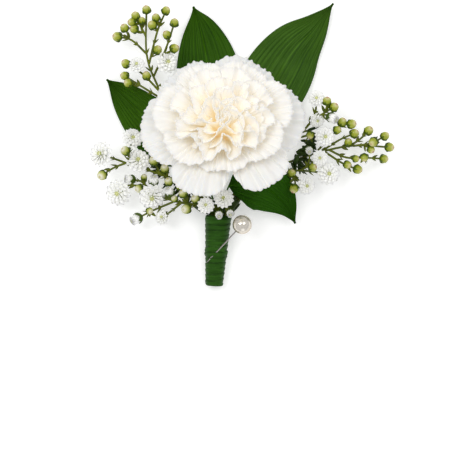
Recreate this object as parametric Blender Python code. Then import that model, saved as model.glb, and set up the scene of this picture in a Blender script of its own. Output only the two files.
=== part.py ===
"""A boutonniere laid on its back: carnation, broad leaves, small white filler, bound stems and a pearl pin.

+Z is up off the table, +Y runs from the cut stems to the leaf tips, and +X is the wearer's left.
"""

import math

import bmesh
import bpy
from mathutils import Vector

for old in list(bpy.data.objects):
    bpy.data.objects.remove(old)

MM = 0.001

# Carnation head: the mouth of the calyx, and how far the head leans from straight up towards the leaf tips.
MOUTH = Vector((-7.5, 3.0, 24.8)) * MM
HEAD_LEAN = math.radians(25)
CALYX_LENGTH = 18 * MM
CALYX_RADIUS = 7.4 * MM
CALYX_BORE = 6.75 * MM
CALYX_FLOOR = 11.6 * MM
CALYX_TOOTH = 2.8 * MM
CLAW_LENGTH = 11 * MM
PETAL_THICKNESS = 0.45 * MM
PETAL_GAP = 0.36 * MM
PETAL_ROWS = (4, 8, 13, 20, 28, 36)
# ring: (petals, blade length, lean of the tip from the head's axis in degrees, claw radius, turn in steps)
PETAL_RINGS = {
    "guard": (6, 34.5, 105, 6.10, 0.0),
    "outer": (7, 31.0, 80, 5.20, 0.5),
    "middle": (8, 27.0, 57, 4.35, 0.0),
    "inner": (8, 24.0, 36, 3.50, 0.5),
    "heart": (6, 21.0, 15, 2.65, 0.0),
}
NOTCH_ANGLE = -90

# Bound stem: a tapering wrap round the stems.
WRAP_FOOT = Vector((-11.3, -58.4, 3.67)) * MM
WRAP_TOP = Vector((-9.5, -29.5, 6.2)) * MM
WRAP_FOOT_RADIUS = 3.65 * MM
WRAP_TOP_RADIUS = 5.4 * MM
BORE_FOOT_RADIUS = 3.0 * MM
BORE_TOP_RADIUS = 3.8 * MM
STEM_RADIUS = 1.4 * MM
SPRIG_RADIUS = 0.42 * MM
PETIOLE_RADIUS = 0.42 * MM
RING_FOOT_RADIUS = 2.26 * MM
RING_TOP_RADIUS = 3.04 * MM

# Pearl pin.
PEARL_CENTRE = Vector((0.3, -33.2, 13.6)) * MM
PEARL_RADIUS = 3.8 * MM
PIN_TIP = Vector((-14.5, -49.0, 7.35)) * MM
PIN_RADIUS = 0.35 * MM
PIN_CLEARANCE = 0.34 * MM

# Leaves: midrib after the wrap, half width, V-fold in degrees, and place round the stem in degrees.
LEAF_THICKNESS = 0.5 * MM
LEAVES = {
    "leaf_top": {
        "petiole": [(-10, -22, 2.8), (-10.4, -12, 1.3)],
        "rib": [(-11, -4, 0.4), (-12, 12, 0.1), (-14, 32, 0.1), (-16.8, 47.5, 1.4), (-19.9, 57.2, 3.2)],
        "half_width": 13.9, "fold": 9, "place": 270,
    },
    "leaf_right": {
        "petiole": [(-7.5, -23, 3.4), (-3.4, -13, 2.4)],
        "rib": [
            (0.5, -3, 3.0), (6, 12, 2.9), (14.4, 27.4, 0.8),
            (22.0, 39.5, 0.1), (30.5, 48.8, 1.5), (38.1, 58.4, 3.6),
        ],
        "half_width": 14.3, "fold": 9, "place": 300,
    },
    "leaf_left": {
        "petiole": [(-11.5, -23, 3.6), (-16, -14, 1.8)],
        "rib": [(-20.5, -7, 2.2), (-30, 0.5, 1.2), (-39.5, 10.5, 0.1), (-49, 20.5, 1.6), (-55.8, 27, 3.2)],
        "half_width": 10.8, "fold": 11, "place": 240,
    },
    "leaf_low": {
        "petiole": [(-7.6, -25, 10.2), (-6.4, -21, 11.0)],
        "rib": [
            (-5, -17.5, 10.8), (2, -16.6, 10.6), (9, -17.6, 9.6),
            (14.6, -21.4, 8), (19.0, -26.4, 6.2), (22.3, -32.7, 4.4),
        ],
        "half_width": 10.4, "fold": 16, "place": 60,
    },
}

# Sprigs: the stem after the wrap, its arms, and blossoms as (x, y, width). Under 4.3 wide is a bud.
BUD_LIMIT = 4.3
TWIG_RADIUS = 0.34 * MM
SPRIGS = {
    "sprig_top_left": {
        "place": 210,
        "stem": [
            (-14, -20, 5.2), (-19, -8, 6), (-27, 10, 7),
            (-35, 25, 8.5), (-39, 37, 9.5), (-39, 55, 11),
        ],
        "arms": [
            [(-39, 37, 9.5), (-45, 42.5, 10), (-51, 44, 10)],
            [(-39.2, 44, 10), (-43.5, 52.5, 11)],
            [(-38, 33, 9.2), (-34.5, 46, 12), (-31, 54.5, 12)],
            [(-36, 28, 8.8), (-31, 39, 12), (-27.5, 49.5, 12)],
            [(-33, 21, 8), (-41, 29, 10), (-47.5, 33, 10)],
            [(-31, 17.5, 7.7), (-40, 23, 9), (-48, 28, 9)],
        ],
        "blossoms": [
            (-39, 55, 3.4), (-40.8, 50.5, 2.8), (-36.5, 48.5, 3.6), (-51, 44, 3.8), (-48, 47.5, 3.4),
            (-44, 47, 3.4), (-43.5, 52.5, 3.4), (-45, 49.8, 3.2), (-31, 54.5, 3.4), (-35, 51.5, 3.2),
            (-27.5, 49.5, 3.4), (-30.5, 44.5, 3.4), (-34.5, 38.5, 3.6), (-27.5, 39, 3.6), (-30.5, 33.5, 8),
            (-43, 32.5, 6), (-47.5, 33, 3.6), (-48, 28, 3.4), (-39, 28, 3.4), (-46.5, 25, 3.4),
        ],
    },
    "sprig_left": {
        "place": 180,
        "stem": [(-15, -23, 7.4), (-24, -16.5, 9.4), (-35, -12, 11), (-47.3, -7.9, 12), (-57.6, -4.2, 13)],
        "arms": [
            [(-47.3, -7.9, 12), (-52.5, -10, 12), (-57.2, -13, 12)],
            [(-45.0, -8.8, 12), (-46.2, -5.2, 13.5), (-44.6, 2.3, 13)],
        ],
        "blossoms": [
            (-57.6, -4.2, 9), (-57.2, -13, 3.8), (-44.6, 2.3, 7.4), (-42.3, -6.9, 8.6), (-47.5, -3.0, 3.6),
            (-35.9, -7.0, 3.8), (-31.5, -10.2, 3.4),
        ],
    },
    "sprig_left_low": {
        "place": 150,
        "stem": [
            (-14.5, -25.5, 10.6), (-24.5, -24.2, 11), (-34, -22.8, 10),
            (-43, -20.6, 9), (-50.8, -20.2, 9),
        ],
        "arms": [
            [(-28, -23.9, 10.7), (-36, -27.2, 9), (-42.8, -30.6, 8)],
            [(-24.5, -24.2, 11), (-29, -27.8, 10), (-32.5, -30, 9)],
            [(-37, -22.1, 9.7), (-41, -17.6, 8), (-45.5, -14.6, 6.6)],
        ],
        "blossoms": [
            (-50.8, -20.2, 9.2), (-36.7, -21.9, 9.6), (-36.1, -15.6, 4.8), (-45.5, -14.6, 4.8),
            (-32.5, -30, 5.8), (-42.8, -30.6, 5.3), (-29.2, -20.1, 4.4), (-29.8, -15.6, 3.4),
            (-42.1, -18.4, 3.2), (-24, -20.5, 3.4), (-18.9, -22.6, 3.4), (-22.7, -26.8, 3.8),
            (-37.7, -27.6, 2.8),
        ],
    },
    "sprig_front": {
        "place": 90,
        "stem": [(-9.8, -26.6, 10.4), (-11.6, -25.4, 13.2), (-14.6, -25.3, 14.6)],
        "arms": [
            [(-9.8, -26.6, 10.4), (-9.3, -29.0, 13.6)],
            [(-9.8, -26.6, 10.4), (-6.6, -25.4, 13.0), (-4.7, -28.4, 14.0)],
            [(-7.6, -26.0, 12.4), (-7.3, -22.6, 14.6)],
        ],
        "blossoms": [(-14.6, -25.3, 6.2), (-7.3, -22.6, 7.2), (-9.3, -29.0, 4), (-4.7, -28.4, 4)],
    },
    "sprig_right_low": {
        "place": 30,
        "stem": [(-4.4, -25.4, 8.0), (2, -19.5, 8.0), (12, -14, 8.4), (22, -11, 10), (35.7, -12.2, 12)],
        "arms": [
            [(19, -11.9, 9.5), (22.5, -14.6, 12.4), (26.6, -17.2, 13)],
            [(24, -11.1, 10.4), (28, -8.6, 13), (32, -6, 15)],
        ],
        "blossoms": [
            (35.7, -12.2, 8.2), (26.6, -17.2, 6.6), (32, -6, 6), (21.6, -18.4, 3.6), (20.6, -12.2, 3.2),
            (29.1, -9.9, 3.4), (27.6, -2.6, 4),
        ],
    },
    "sprig_right_long": {
        "place": 0,
        "stem": [
            (-4, -23, 6.4), (4, -15, 6.3), (18, -8, 6.8),
            (36, -2.4, 8.6), (48, -0.6, 9.4), (60.8, -1.4, 10),
        ],
        "arms": [
            [(46, -0.8, 9.4), (53, 0.2, 11), (58.8, 3.1, 12)],
            [(44, -1.2, 9.3), (49, 2.2, 11), (52.2, 5.4, 12)],
            [(36, -2.4, 8.6), (43, -5.5, 8.5), (50.5, -5.6, 8.5), (58.6, -6.1, 8.5)],
            [(34, -3.0, 8.4), (42, -8.1, 8), (47.9, -10.4, 8)],
            [(32, -3.7, 8.2), (40, 1.5, 10.5), (46.3, 4.2, 11.5)],
            [(30, -4.3, 8.0), (36.5, 3, 11), (41.3, 8.8, 12)],
        ],
        "blossoms": [
            (60.8, -1.4, 3.6), (58.8, 3.1, 3.4), (58.6, -6.1, 3.4), (52.2, 5.4, 3.6), (50.5, -5.6, 3.2),
            (47, -6.1, 2.8), (47.9, -10.4, 3.6), (43.6, -8.6, 3.2), (43.9, 0.6, 3.2), (46.3, 4.2, 3.6),
            (41.3, 8.8, 3.6), (39.2, 5.6, 3.2), (54, 0.6, 3.7), (45.1, 8.0, 3.7), (53.2, -2.4, 3),
        ],
    },
    "sprig_right_high": {
        "place": 330,
        "stem": [
            (-4.6, -22.5, 4.6), (5, -11.5, 4.3), (18, -1.5, 6.2),
            (26, 6, 10), (30, 12, 13), (30.6, 18.4, 15),
        ],
        "arms": [
            [(27, 7.4, 10.6), (33, 12, 14), (37.8, 14.8, 15)],
            [(22, 2.2, 8.1), (29, 3.6, 14), (34.0, 2.6, 16.5)],
        ],
        "blossoms": [
            (30.6, 18.4, 6), (31, 9.4, 5.4), (34.0, 2.6, 7.2), (36.6, 10.6, 5), (34.9, 17.2, 3.4),
            (37.8, 14.8, 3.6), (28.1, 3.4, 3),
        ],
    },
}

# slot: (base colour, roughness, metallic)
SLOTS = {
    "petal_white": ((0.86, 0.83, 0.78), 0.6, 0),
    "calyx_green": ((0.12, 0.24, 0.06), 0.5, 0),
    "stem_green": ((0.10, 0.20, 0.04), 0.5, 0),
    "leaf_green": ((0.025, 0.085, 0.010), 0.38, 0),
    "sprig_green": ((0.13, 0.24, 0.02), 0.5, 0),
    "wrap_green": ((0.035, 0.10, 0.014), 0.5, 0),
    "pin_steel": ((0.62, 0.60, 0.57), 0.25, 1),
    "pearl": ((0.70, 0.64, 0.55), 0.18, 0),
}

scene = bpy.context.scene
scene.unit_settings.system = "METRIC"


def material(name, slot):
    colour, roughness, metallic = SLOTS[slot]
    made = bpy.data.materials.new(name)
    made.use_nodes = True
    shader = made.node_tree.nodes["Principled BSDF"]
    shader.inputs["Base Color"].default_value = (*colour, 1)
    shader.inputs["Roughness"].default_value = roughness
    shader.inputs["Metallic"].default_value = metallic
    made.diffuse_color = (*colour, 1)
    return made


def add(name, shells, slot):
    """One object from closed shells, each a list of points and a list of faces."""
    mesh = bpy.data.meshes.new(name)
    points = []
    faces = []
    for shell_points, shell_faces in shells:
        start = len(points)
        points += shell_points
        faces += [[start + i for i in face] for face in shell_faces]
    mesh.from_pydata(points, [], faces)
    work = bmesh.new()
    work.from_mesh(mesh)
    bmesh.ops.triangulate(work, faces=[f for f in work.faces if len(f.verts) > 3])
    bmesh.ops.recalc_face_normals(work, faces=work.faces)
    work.to_mesh(mesh)
    work.free()
    mesh.materials.append(material(name, slot))
    made = bpy.data.objects.new(name, mesh)
    scene.collection.objects.link(made)
    return made


def helper(name, shells, slot):
    made = add(name, shells, slot)
    made.hide_render = True
    made.display_type = "WIRE"
    return made


def boolean(target, other, operation):
    step = target.modifiers.new(operation.title(), "BOOLEAN")
    step.operation = operation
    step.solver = "EXACT"
    step.use_self = operation == "UNION"
    step.object = other


def mm(points):
    return [Vector(p) * MM for p in points]


def smooth(points, steps):
    """A Catmull-Rom line through the points."""
    ends = [2 * points[0] - points[1], *points, 2 * points[-1] - points[-2]]
    line = []
    for a, b, c, d in zip(ends, ends[1:], ends[2:], ends[3:]):
        for i in range(steps):
            t = i / steps
            line.append(
                0.5 * (2 * b + (c - a) * t + (2 * a - 5 * b + 4 * c - d) * t * t
                       + (3 * b - a - 3 * c + d) * t ** 3)
            )
    line.append(points[-1].copy())
    return line


def skin(rings, loop=False):
    """A closed shell over rings of points, with flat ends unless the last ring joins the first."""
    count = len(rings[0])
    points = [p for ring in rings for p in ring]
    faces = []
    for i in range(len(rings) if loop else len(rings) - 1):
        a = i * count
        b = (i + 1) % len(rings) * count
        for j in range(count):
            k = (j + 1) % count
            faces.append([a + j, a + k, b + k, b + j])
    if not loop:
        faces.append(list(range(count)))
        faces.append(list(range(len(points) - count, len(points))))
    return points, faces


def slab(upper, under):
    """A closed shell between two grids of points, one over the other."""
    rows = len(upper)
    columns = len(upper[0])
    points = [p for grid in (upper, under) for row in grid for p in row]
    below = rows * columns
    faces = []
    for i in range(rows - 1):
        for j in range(columns - 1):
            a = i * columns + j
            quad = [a, a + 1, a + columns + 1, a + columns]
            faces.append(quad)
            faces.append([below + k for k in quad])
    rim = list(range(columns))
    rim += [i * columns + columns - 1 for i in range(1, rows)]
    rim += [(rows - 1) * columns + j for j in range(columns - 2, -1, -1)]
    rim += [i * columns for i in range(rows - 2, 0, -1)]
    for a, b in zip(rim, rim[1:] + rim[:1]):
        faces.append([a, b, below + b, below + a])
    return points, faces


def circle(centre, side, across, radius, sides):
    turns = [2 * math.pi * k / sides for k in range(sides)]
    return [centre + radius * (math.cos(t) * side + math.sin(t) * across) for t in turns]


def tube(line, radius, sides=5):
    """A round shell along a line. The cross-section is carried along without twisting."""
    rings = []
    side = None
    for i, point in enumerate(line):
        along = (line[min(i + 1, len(line) - 1)] - line[max(i - 1, 0)]).normalized()
        if side is None:
            side = along.orthogonal().normalized()
        side = (side - side.dot(along) * along).normalized()
        rings.append(circle(point, side, along.cross(side), radius, sides))
    return skin(rings)


def ball(centre, radius, height, sides, bands):
    """A round or flattened shell."""
    rings = []
    for i in range(1, bands):
        polar = math.pi * i / bands
        rings.append([
            centre + Vector((
                radius * math.sin(polar) * math.cos(2 * math.pi * k / sides),
                radius * math.sin(polar) * math.sin(2 * math.pi * k / sides),
                height * math.cos(polar),
            ))
            for k in range(sides)
        ])
    points, faces = skin(rings)
    faces = faces[:-2]
    points += [centre + Vector((0, 0, height)), centre - Vector((0, 0, height))]
    top = len(points) - 2
    last = (bands - 2) * sides
    for k in range(sides):
        n = (k + 1) % sides
        faces.append([top, n, k])
        faces.append([top + 1, last + k, last + n])
    return points, faces


def in_bundle(place, beyond):
    """The line of a thin stem: straight up the wrap at its place round the thick one, then curving on."""
    turn = math.radians(place)
    out = Vector((math.cos(turn), 0, math.sin(turn)))
    foot = WRAP_FOOT + RING_FOOT_RADIUS * out
    top = WRAP_TOP + RING_TOP_RADIUS * out
    return [foot] + smooth([top, top.lerp(foot, -0.08), *beyond], 3)


# ---- carnation ----

head = bpy.data.objects.new("head_axis", None)
head.location = MOUTH
head.rotation_euler.x = -HEAD_LEAN
scene.collection.objects.link(head)
HEAD_UP = Vector((0, math.sin(HEAD_LEAN), math.cos(HEAD_LEAN)))
CALYX_FOOT = MOUTH - CALYX_LENGTH * HEAD_UP


def petal(ring, index):
    """A claw down inside the calyx and a blade that leans out, cut as one sector of its ring."""
    count, length, lean, claw_radius, turn = PETAL_RINGS[ring]
    claw_radius *= MM
    middle = math.radians(NOTCH_ANGLE) + 2 * math.pi * (index + 0.5 + turn) / count
    spread = math.pi / count - PETAL_GAP / 2 / (claw_radius - PETAL_THICKNESS / 2)
    columns = [-1, -0.5, 0, 0.5, 1]
    upper = [[] for _ in range(len(PETAL_ROWS) + 3)]
    under = [[] for _ in upper]
    last = PETAL_ROWS[-1]
    for across in columns:
        blade = length * MM * (1 - 0.1 * across * across)
        reach = claw_radius
        rise = 0.0
        steps = [(claw_radius, -CLAW_LENGTH, 0.0), (claw_radius, -CLAW_LENGTH / 2, 0.0), (reach, rise, 0.0)]
        for i in range(last):
            angle = math.radians(lean) * (1 - (1 - (i + 0.5) / last) ** 2)
            reach += blade / last * math.sin(angle)
            rise += blade / last * math.cos(angle)
            if i + 1 in PETAL_ROWS:
                steps.append((reach, rise, math.radians(lean) * (1 - (1 - (i + 1) / last) ** 2)))
        way = middle + spread * across
        for row, (r, h, angle) in enumerate(steps):
            for grid, side in ((upper, 0.5), (under, -0.5)):
                r_side = r - side * PETAL_THICKNESS * math.cos(angle)
                h_side = h + side * PETAL_THICKNESS * math.sin(angle)
                grid[row].append(Vector((r_side * math.cos(way), r_side * math.sin(way), h_side)))
    made = add(f"petal_{ring}_{index + 1}", [slab(upper, under)], "petal_white")
    made.parent = head


def calyx():
    """A green cup with five short teeth, hollow down to the feet of the claws."""
    x_way = Vector((1, 0, 0))
    y_way = Vector((0, 1, 0))
    outside = [(1.2, 18), (3.4, 18), (5.5, 16.8), (6.9, 14.6), (7.4, 11.5), (7.4, 5)]
    profile = [(r * MM, depth * MM) for r, depth in outside]
    profile += [(CALYX_RADIUS, 0), (CALYX_BORE, 0), (CALYX_BORE, CALYX_FLOOR), (1.2 * MM, CALYX_FLOOR)]
    rings = [circle(Vector((0, 0, -depth)), x_way, y_way, r, 30) for r, depth in profile]
    for ring in rings[6:8]:
        for k, point in enumerate(ring):
            point.z -= CALYX_TOOTH / 2 * (1 - math.cos(5 * 2 * math.pi * k / 30))
    made = add("calyx", [skin(rings)], "calyx_green")
    made.parent = head


for ring, values in PETAL_RINGS.items():
    for index in range(values[0]):
        petal(ring, index)
calyx()

stem_line = [WRAP_FOOT, WRAP_FOOT.lerp(WRAP_TOP, 0.5), WRAP_TOP]
stem_line += mm([(-8.9, -20, 6.2), (-8.2, -12, 5.0), (-7.7, -8.0, 4.9), (-7.5, -6.0, 6.0)])
stem_line.append(CALYX_FOOT - 0.35 * MM * HEAD_UP)
add("carnation_stem", [tube(smooth(stem_line, 4), STEM_RADIUS, 10)], "stem_green")

# ---- leaves ----


def leaf(name, petiole, rib, half_width, fold, place):
    """A pointed blade folded along a curved midrib, on a thin petiole. Nothing goes below the table."""
    line = smooth(mm(rib), 4)
    lift = math.tan(math.radians(fold))
    rows = len(line)
    upper = []
    under = []
    for i, point in enumerate(line):
        t = i / (rows - 1)
        width = half_width * MM * (t / 0.375) ** 0.75 * ((1 - t) / 0.625) ** 1.25
        width = max(width, 0.4 * MM)
        along = line[min(i + 1, rows - 1)] - line[max(i - 1, 0)]
        across = Vector((along.y, -along.x, 0)).normalized()
        top_row = []
        low_row = []
        for s in (-1, -0.6, -0.16, 0, 0.16, 0.6, 1):
            place_on = point + across * s * width
            rise = lift * width * abs(s) ** 1.3 * (1 if abs(s) > 0.2 else 0.3)
            z = max(place_on.z + rise - LEAF_THICKNESS / 2, 0)
            low_row.append(Vector((place_on.x, place_on.y, z)))
            top_row.append(Vector((place_on.x, place_on.y, z + LEAF_THICKNESS)))
        upper.append(top_row)
        under.append(low_row)
    blade = add(name, [slab(upper, under)], "leaf_green")
    seat = Vector((0, 0, PETIOLE_RADIUS))
    lead = in_bundle(place, mm(petiole) + [line[0] + seat, line[2] + seat])
    boolean(blade, helper(name + "_petiole", [tube(lead, PETIOLE_RADIUS)], "leaf_green"), "UNION")


for name, spec in LEAVES.items():
    leaf(name, **spec)

# ---- sprigs ----


def blossom(centre, width):
    radius = width * MM / 2
    if width < BUD_LIMIT:
        return ball(centre, radius, radius * 1.05, 6, 4)
    return ball(centre, radius, radius * 0.55, 8, 4)


def fork(lines, target):
    """Where a side twig leaves: the nearest spot from which it points along the growth."""
    best = None
    for line in lines:
        for a, b in zip(line, line[1:]):
            reach = Vector((target.x - a.x, target.y - a.y, 0))
            along = Vector((b.x - a.x, b.y - a.y, 0))
            if reach.length < 0.3 * MM:
                return a
            ahead = reach.dot(along) / reach.length / max(along.length, 1e-9)
            cost = reach.length * (1 if ahead > 0.5 else 4)
            if best is None or cost < best[0]:
                best = (cost, a)
    return best[1]


def sprig(name, place, stem, arms, blossoms):
    """A thin stem with arms and side twigs, each ending in a flower or a bud, made one body."""
    lead = in_bundle(place, mm(stem))
    lines = [lead[5:]] + [smooth(mm(arm), 3) for arm in arms]
    shells = [tube(line, TWIG_RADIUS) for line in lines[1:]]
    tips = [line[-1] for line in lines]
    for x, y, width in blossoms:
        target = Vector((x, y, 0)) * MM
        at_tip = [tip for tip in tips if (Vector((tip.x, tip.y, 0)) - target).length < 0.3 * MM]
        if at_tip:
            centre = at_tip[0]
        else:
            start = fork(lines, target)
            centre = Vector((target.x, target.y, start.z + 1.2 * MM))
            shells.append(tube([start, start.lerp(centre, 0.5), centre], TWIG_RADIUS))
        shells.append(blossom(centre, width))
    made = add(name, [tube(lead, SPRIG_RADIUS)], "sprig_green")
    boolean(made, helper(name + "_growth", shells, "sprig_green"), "UNION")


for name, spec in SPRIGS.items():
    sprig(name, **spec)

# ---- bound stem and pin ----


def wrap():
    """A tapering sleeve, rounded at both ends and open so that the stems run through."""
    along = (WRAP_TOP - WRAP_FOOT).normalized()
    side = along.orthogonal().normalized()
    across = along.cross(side)
    length = (WRAP_TOP - WRAP_FOOT).length
    ends = [(0.0, 0.45), (0.45, 0.1), (0.9, 0.0)]
    profile = [(at * MM, WRAP_FOOT_RADIUS - inset * MM) for at, inset in ends]
    for t in (0.25, 0.5, 0.75):
        profile.append((length * t, WRAP_FOOT_RADIUS + (WRAP_TOP_RADIUS - WRAP_FOOT_RADIUS) * t))
    profile += [(length - at * MM, WRAP_TOP_RADIUS - inset * MM) for at, inset in reversed(ends)]
    profile += [(length, BORE_TOP_RADIUS), (0, BORE_FOOT_RADIUS)]
    rings = []
    for at, radius in profile:
        rings.append(circle(WRAP_FOOT + along * at, side, across, radius, 32))
    made = add("stem_wrap", [skin(rings, loop=True)], "wrap_green")
    way = (PIN_TIP - PEARL_CENTRE).normalized()
    groove = tube([PEARL_CENTRE + 6 * MM * way, PIN_TIP + 3 * MM * way], PIN_RADIUS + PIN_CLEARANCE, 10)
    boolean(made, helper("pin_groove", [groove], "wrap_green"), "DIFFERENCE")


def pin():
    """A straight steel shaft ground to a point, and a pearl bead drilled to take it."""
    way = (PIN_TIP - PEARL_CENTRE).normalized()
    head_end = PEARL_CENTRE + 1.5 * MM * way
    side = way.orthogonal().normalized()
    across = way.cross(side)
    shaft = ((head_end, PIN_RADIUS), (PIN_TIP - 3 * MM * way, PIN_RADIUS), (PIN_TIP, 0.08 * MM))
    add("pin_shaft", [skin([circle(at, side, across, radius, 10) for at, radius in shaft])], "pin_steel")
    pearl = add("pin_pearl", [ball(PEARL_CENTRE, PEARL_RADIUS, PEARL_RADIUS, 24, 14)], "pearl")
    bore = tube([head_end - 0.4 * MM * way, PEARL_CENTRE + 6 * MM * way], PIN_RADIUS + PIN_CLEARANCE, 10)
    boolean(pearl, helper("pearl_bore", [bore], "pearl"), "DIFFERENCE")


wrap()
pin()
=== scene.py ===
# %% [markdown]
# # A boutonniere, piece by piece
# A boutonniere is a single bloom backed with leaves and filler, bound at the stems and pinned to a lapel.
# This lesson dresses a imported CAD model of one. The CAD model fixes where every part is and how big it is,
# so each piece made here lands in the same place and then stands for its CAD part.
# It could be sculpted by hand, but petals, leaves and blossoms all follow simple rules, so rules make them.

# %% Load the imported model
import math
import random

import bmesh
import bpy
from mathutils import Matrix, Vector


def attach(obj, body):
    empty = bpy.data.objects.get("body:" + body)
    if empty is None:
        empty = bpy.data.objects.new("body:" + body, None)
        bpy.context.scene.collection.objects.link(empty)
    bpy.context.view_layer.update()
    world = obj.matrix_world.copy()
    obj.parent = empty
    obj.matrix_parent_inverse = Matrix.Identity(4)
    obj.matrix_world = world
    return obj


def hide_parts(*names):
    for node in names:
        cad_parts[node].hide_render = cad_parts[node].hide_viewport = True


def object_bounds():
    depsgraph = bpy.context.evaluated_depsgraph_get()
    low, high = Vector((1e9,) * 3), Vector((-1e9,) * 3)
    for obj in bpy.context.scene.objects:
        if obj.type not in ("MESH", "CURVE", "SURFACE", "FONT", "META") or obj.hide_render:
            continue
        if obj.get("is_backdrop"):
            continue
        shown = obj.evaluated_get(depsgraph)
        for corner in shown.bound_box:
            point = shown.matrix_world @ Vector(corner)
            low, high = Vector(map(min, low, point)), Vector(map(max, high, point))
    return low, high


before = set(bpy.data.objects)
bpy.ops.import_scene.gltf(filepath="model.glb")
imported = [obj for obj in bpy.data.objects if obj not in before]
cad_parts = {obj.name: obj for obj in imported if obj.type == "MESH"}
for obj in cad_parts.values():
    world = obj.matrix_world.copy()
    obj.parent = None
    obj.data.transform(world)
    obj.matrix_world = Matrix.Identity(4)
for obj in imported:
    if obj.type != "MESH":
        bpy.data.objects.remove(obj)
cad_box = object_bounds()
MM = 0.001
UP = Vector((0, 0, 1))
print("parts:", len(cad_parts), "box in mm:", [round((b - a) / MM, 1) for a, b in zip(*cad_box)])

# %% [markdown]
# ## Camera, floor and light
# The boutonniere lies on its back on a pale table and is seen from straight above, as florists shoot them.
# A long lens from a distance keeps the petals from bulging. Wide soft lights and a pale room leave hardly
# any shadow, which is how white flowers keep their detail. The floor glows faintly, like a light table.

# %% Camera
scene = bpy.context.scene
scene.view_settings.view_transform = "Standard"
EYE_HEIGHT = 0.9
SPRIG_HEIGHT = 0.012
camera_data = bpy.data.cameras.new("camera")
camera_data.lens = 169.5
camera_data.sensor_width = 36
camera_data.clip_start = 0.01
camera = bpy.data.objects.new("camera", camera_data)
camera.location = (-0.0047, -0.0354, EYE_HEIGHT)
scene.collection.objects.link(camera)
scene.camera = camera
view_width = camera_data.sensor_width / camera_data.lens * (EYE_HEIGHT - SPRIG_HEIGHT)
print("the view is", round(view_width / MM), "mm wide at the height of the sprigs")


# %% Soft lights
def soft_light(name, place, target, size, power, colour=(1, 1, 1)):
    """A square area light that faces a point."""
    data = bpy.data.lights.new(name, "AREA")
    data.size = size
    data.energy = power
    data.color = colour
    lamp = bpy.data.objects.new(name, data)
    lamp.location = place
    lamp.rotation_euler = (Vector(place) - Vector(target)).to_track_quat("Z", "Y").to_euler()
    scene.collection.objects.link(lamp)


soft_light("key_light", (-0.42, 0.24, 0.86), (0, 0, 0), 0.48, 3.1)
soft_light("fill_light", (0.36, 0.26, 0.88), (0, 0, 0), 0.48, 2.0)
soft_light("low_light", (0.1, -0.85, 0.34), (0, 0, 0), 0.5, 0.7)
room = bpy.data.worlds.new("pale_room")
room.use_nodes = True
background = room.node_tree.nodes["Background"].inputs
background["Color"].default_value = (1, 1, 1, 1)
background["Strength"].default_value = 0.50
scene.world = room

# %% [markdown]
# ## A bench for node trees
# Blender builds both shapes and finishes from node trees. Wiring them by hand in code is long-winded, so
# two small helpers do it. A Wire is a socket that can be added or multiplied like a number; each sum adds
# a Math node. A Bench owns a tree, adds any node with its settings and inputs, and asks for named inputs.


# %% Wire and Bench
class Wire:
    """The output of a node, used in sums as if it were a number."""

    def __init__(self, bench, made, out=0):
        self.bench = bench
        self.made = made
        self.out = out

    def __getitem__(self, out):
        return Wire(self.bench, self.made, out)

    def maths(self, operation, *values):
        return self.bench.node("ShaderNodeMath", {"operation": operation}, values)

    def __add__(self, other):
        return self.maths("ADD", self, other)

    def __sub__(self, other):
        return self.maths("SUBTRACT", self, other)

    def __rsub__(self, other):
        return self.maths("SUBTRACT", other, self)

    def __mul__(self, other):
        return self.maths("MULTIPLY", self, other)

    def __truediv__(self, other):
        return self.maths("DIVIDE", self, other)

    def __pow__(self, other):
        return self.maths("POWER", self, other)

    def __neg__(self):
        return self.maths("MULTIPLY", self, -1)

    def __abs__(self):
        return self.maths("ABSOLUTE", self)

    __radd__ = __add__
    __rmul__ = __mul__

    def sin(self):
        return self.maths("SINE", self)

    def cos(self):
        return self.maths("COSINE", self)

    def fract(self):
        return self.maths("FRACT", self)

    def least(self, other):
        return self.maths("MINIMUM", self, other)

    def most(self, other):
        return self.maths("MAXIMUM", self, other)

    def clamp(self):
        return self.most(0).least(1)

    def rise(self, low, high):
        """0 below low, 1 above high, and a smooth step between."""
        settings = {"interpolation_type": "SMOOTHSTEP"}
        values = {"Value": self, "From Min": low, "From Max": high}
        return self.bench.node("ShaderNodeMapRange", settings, values)


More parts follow.
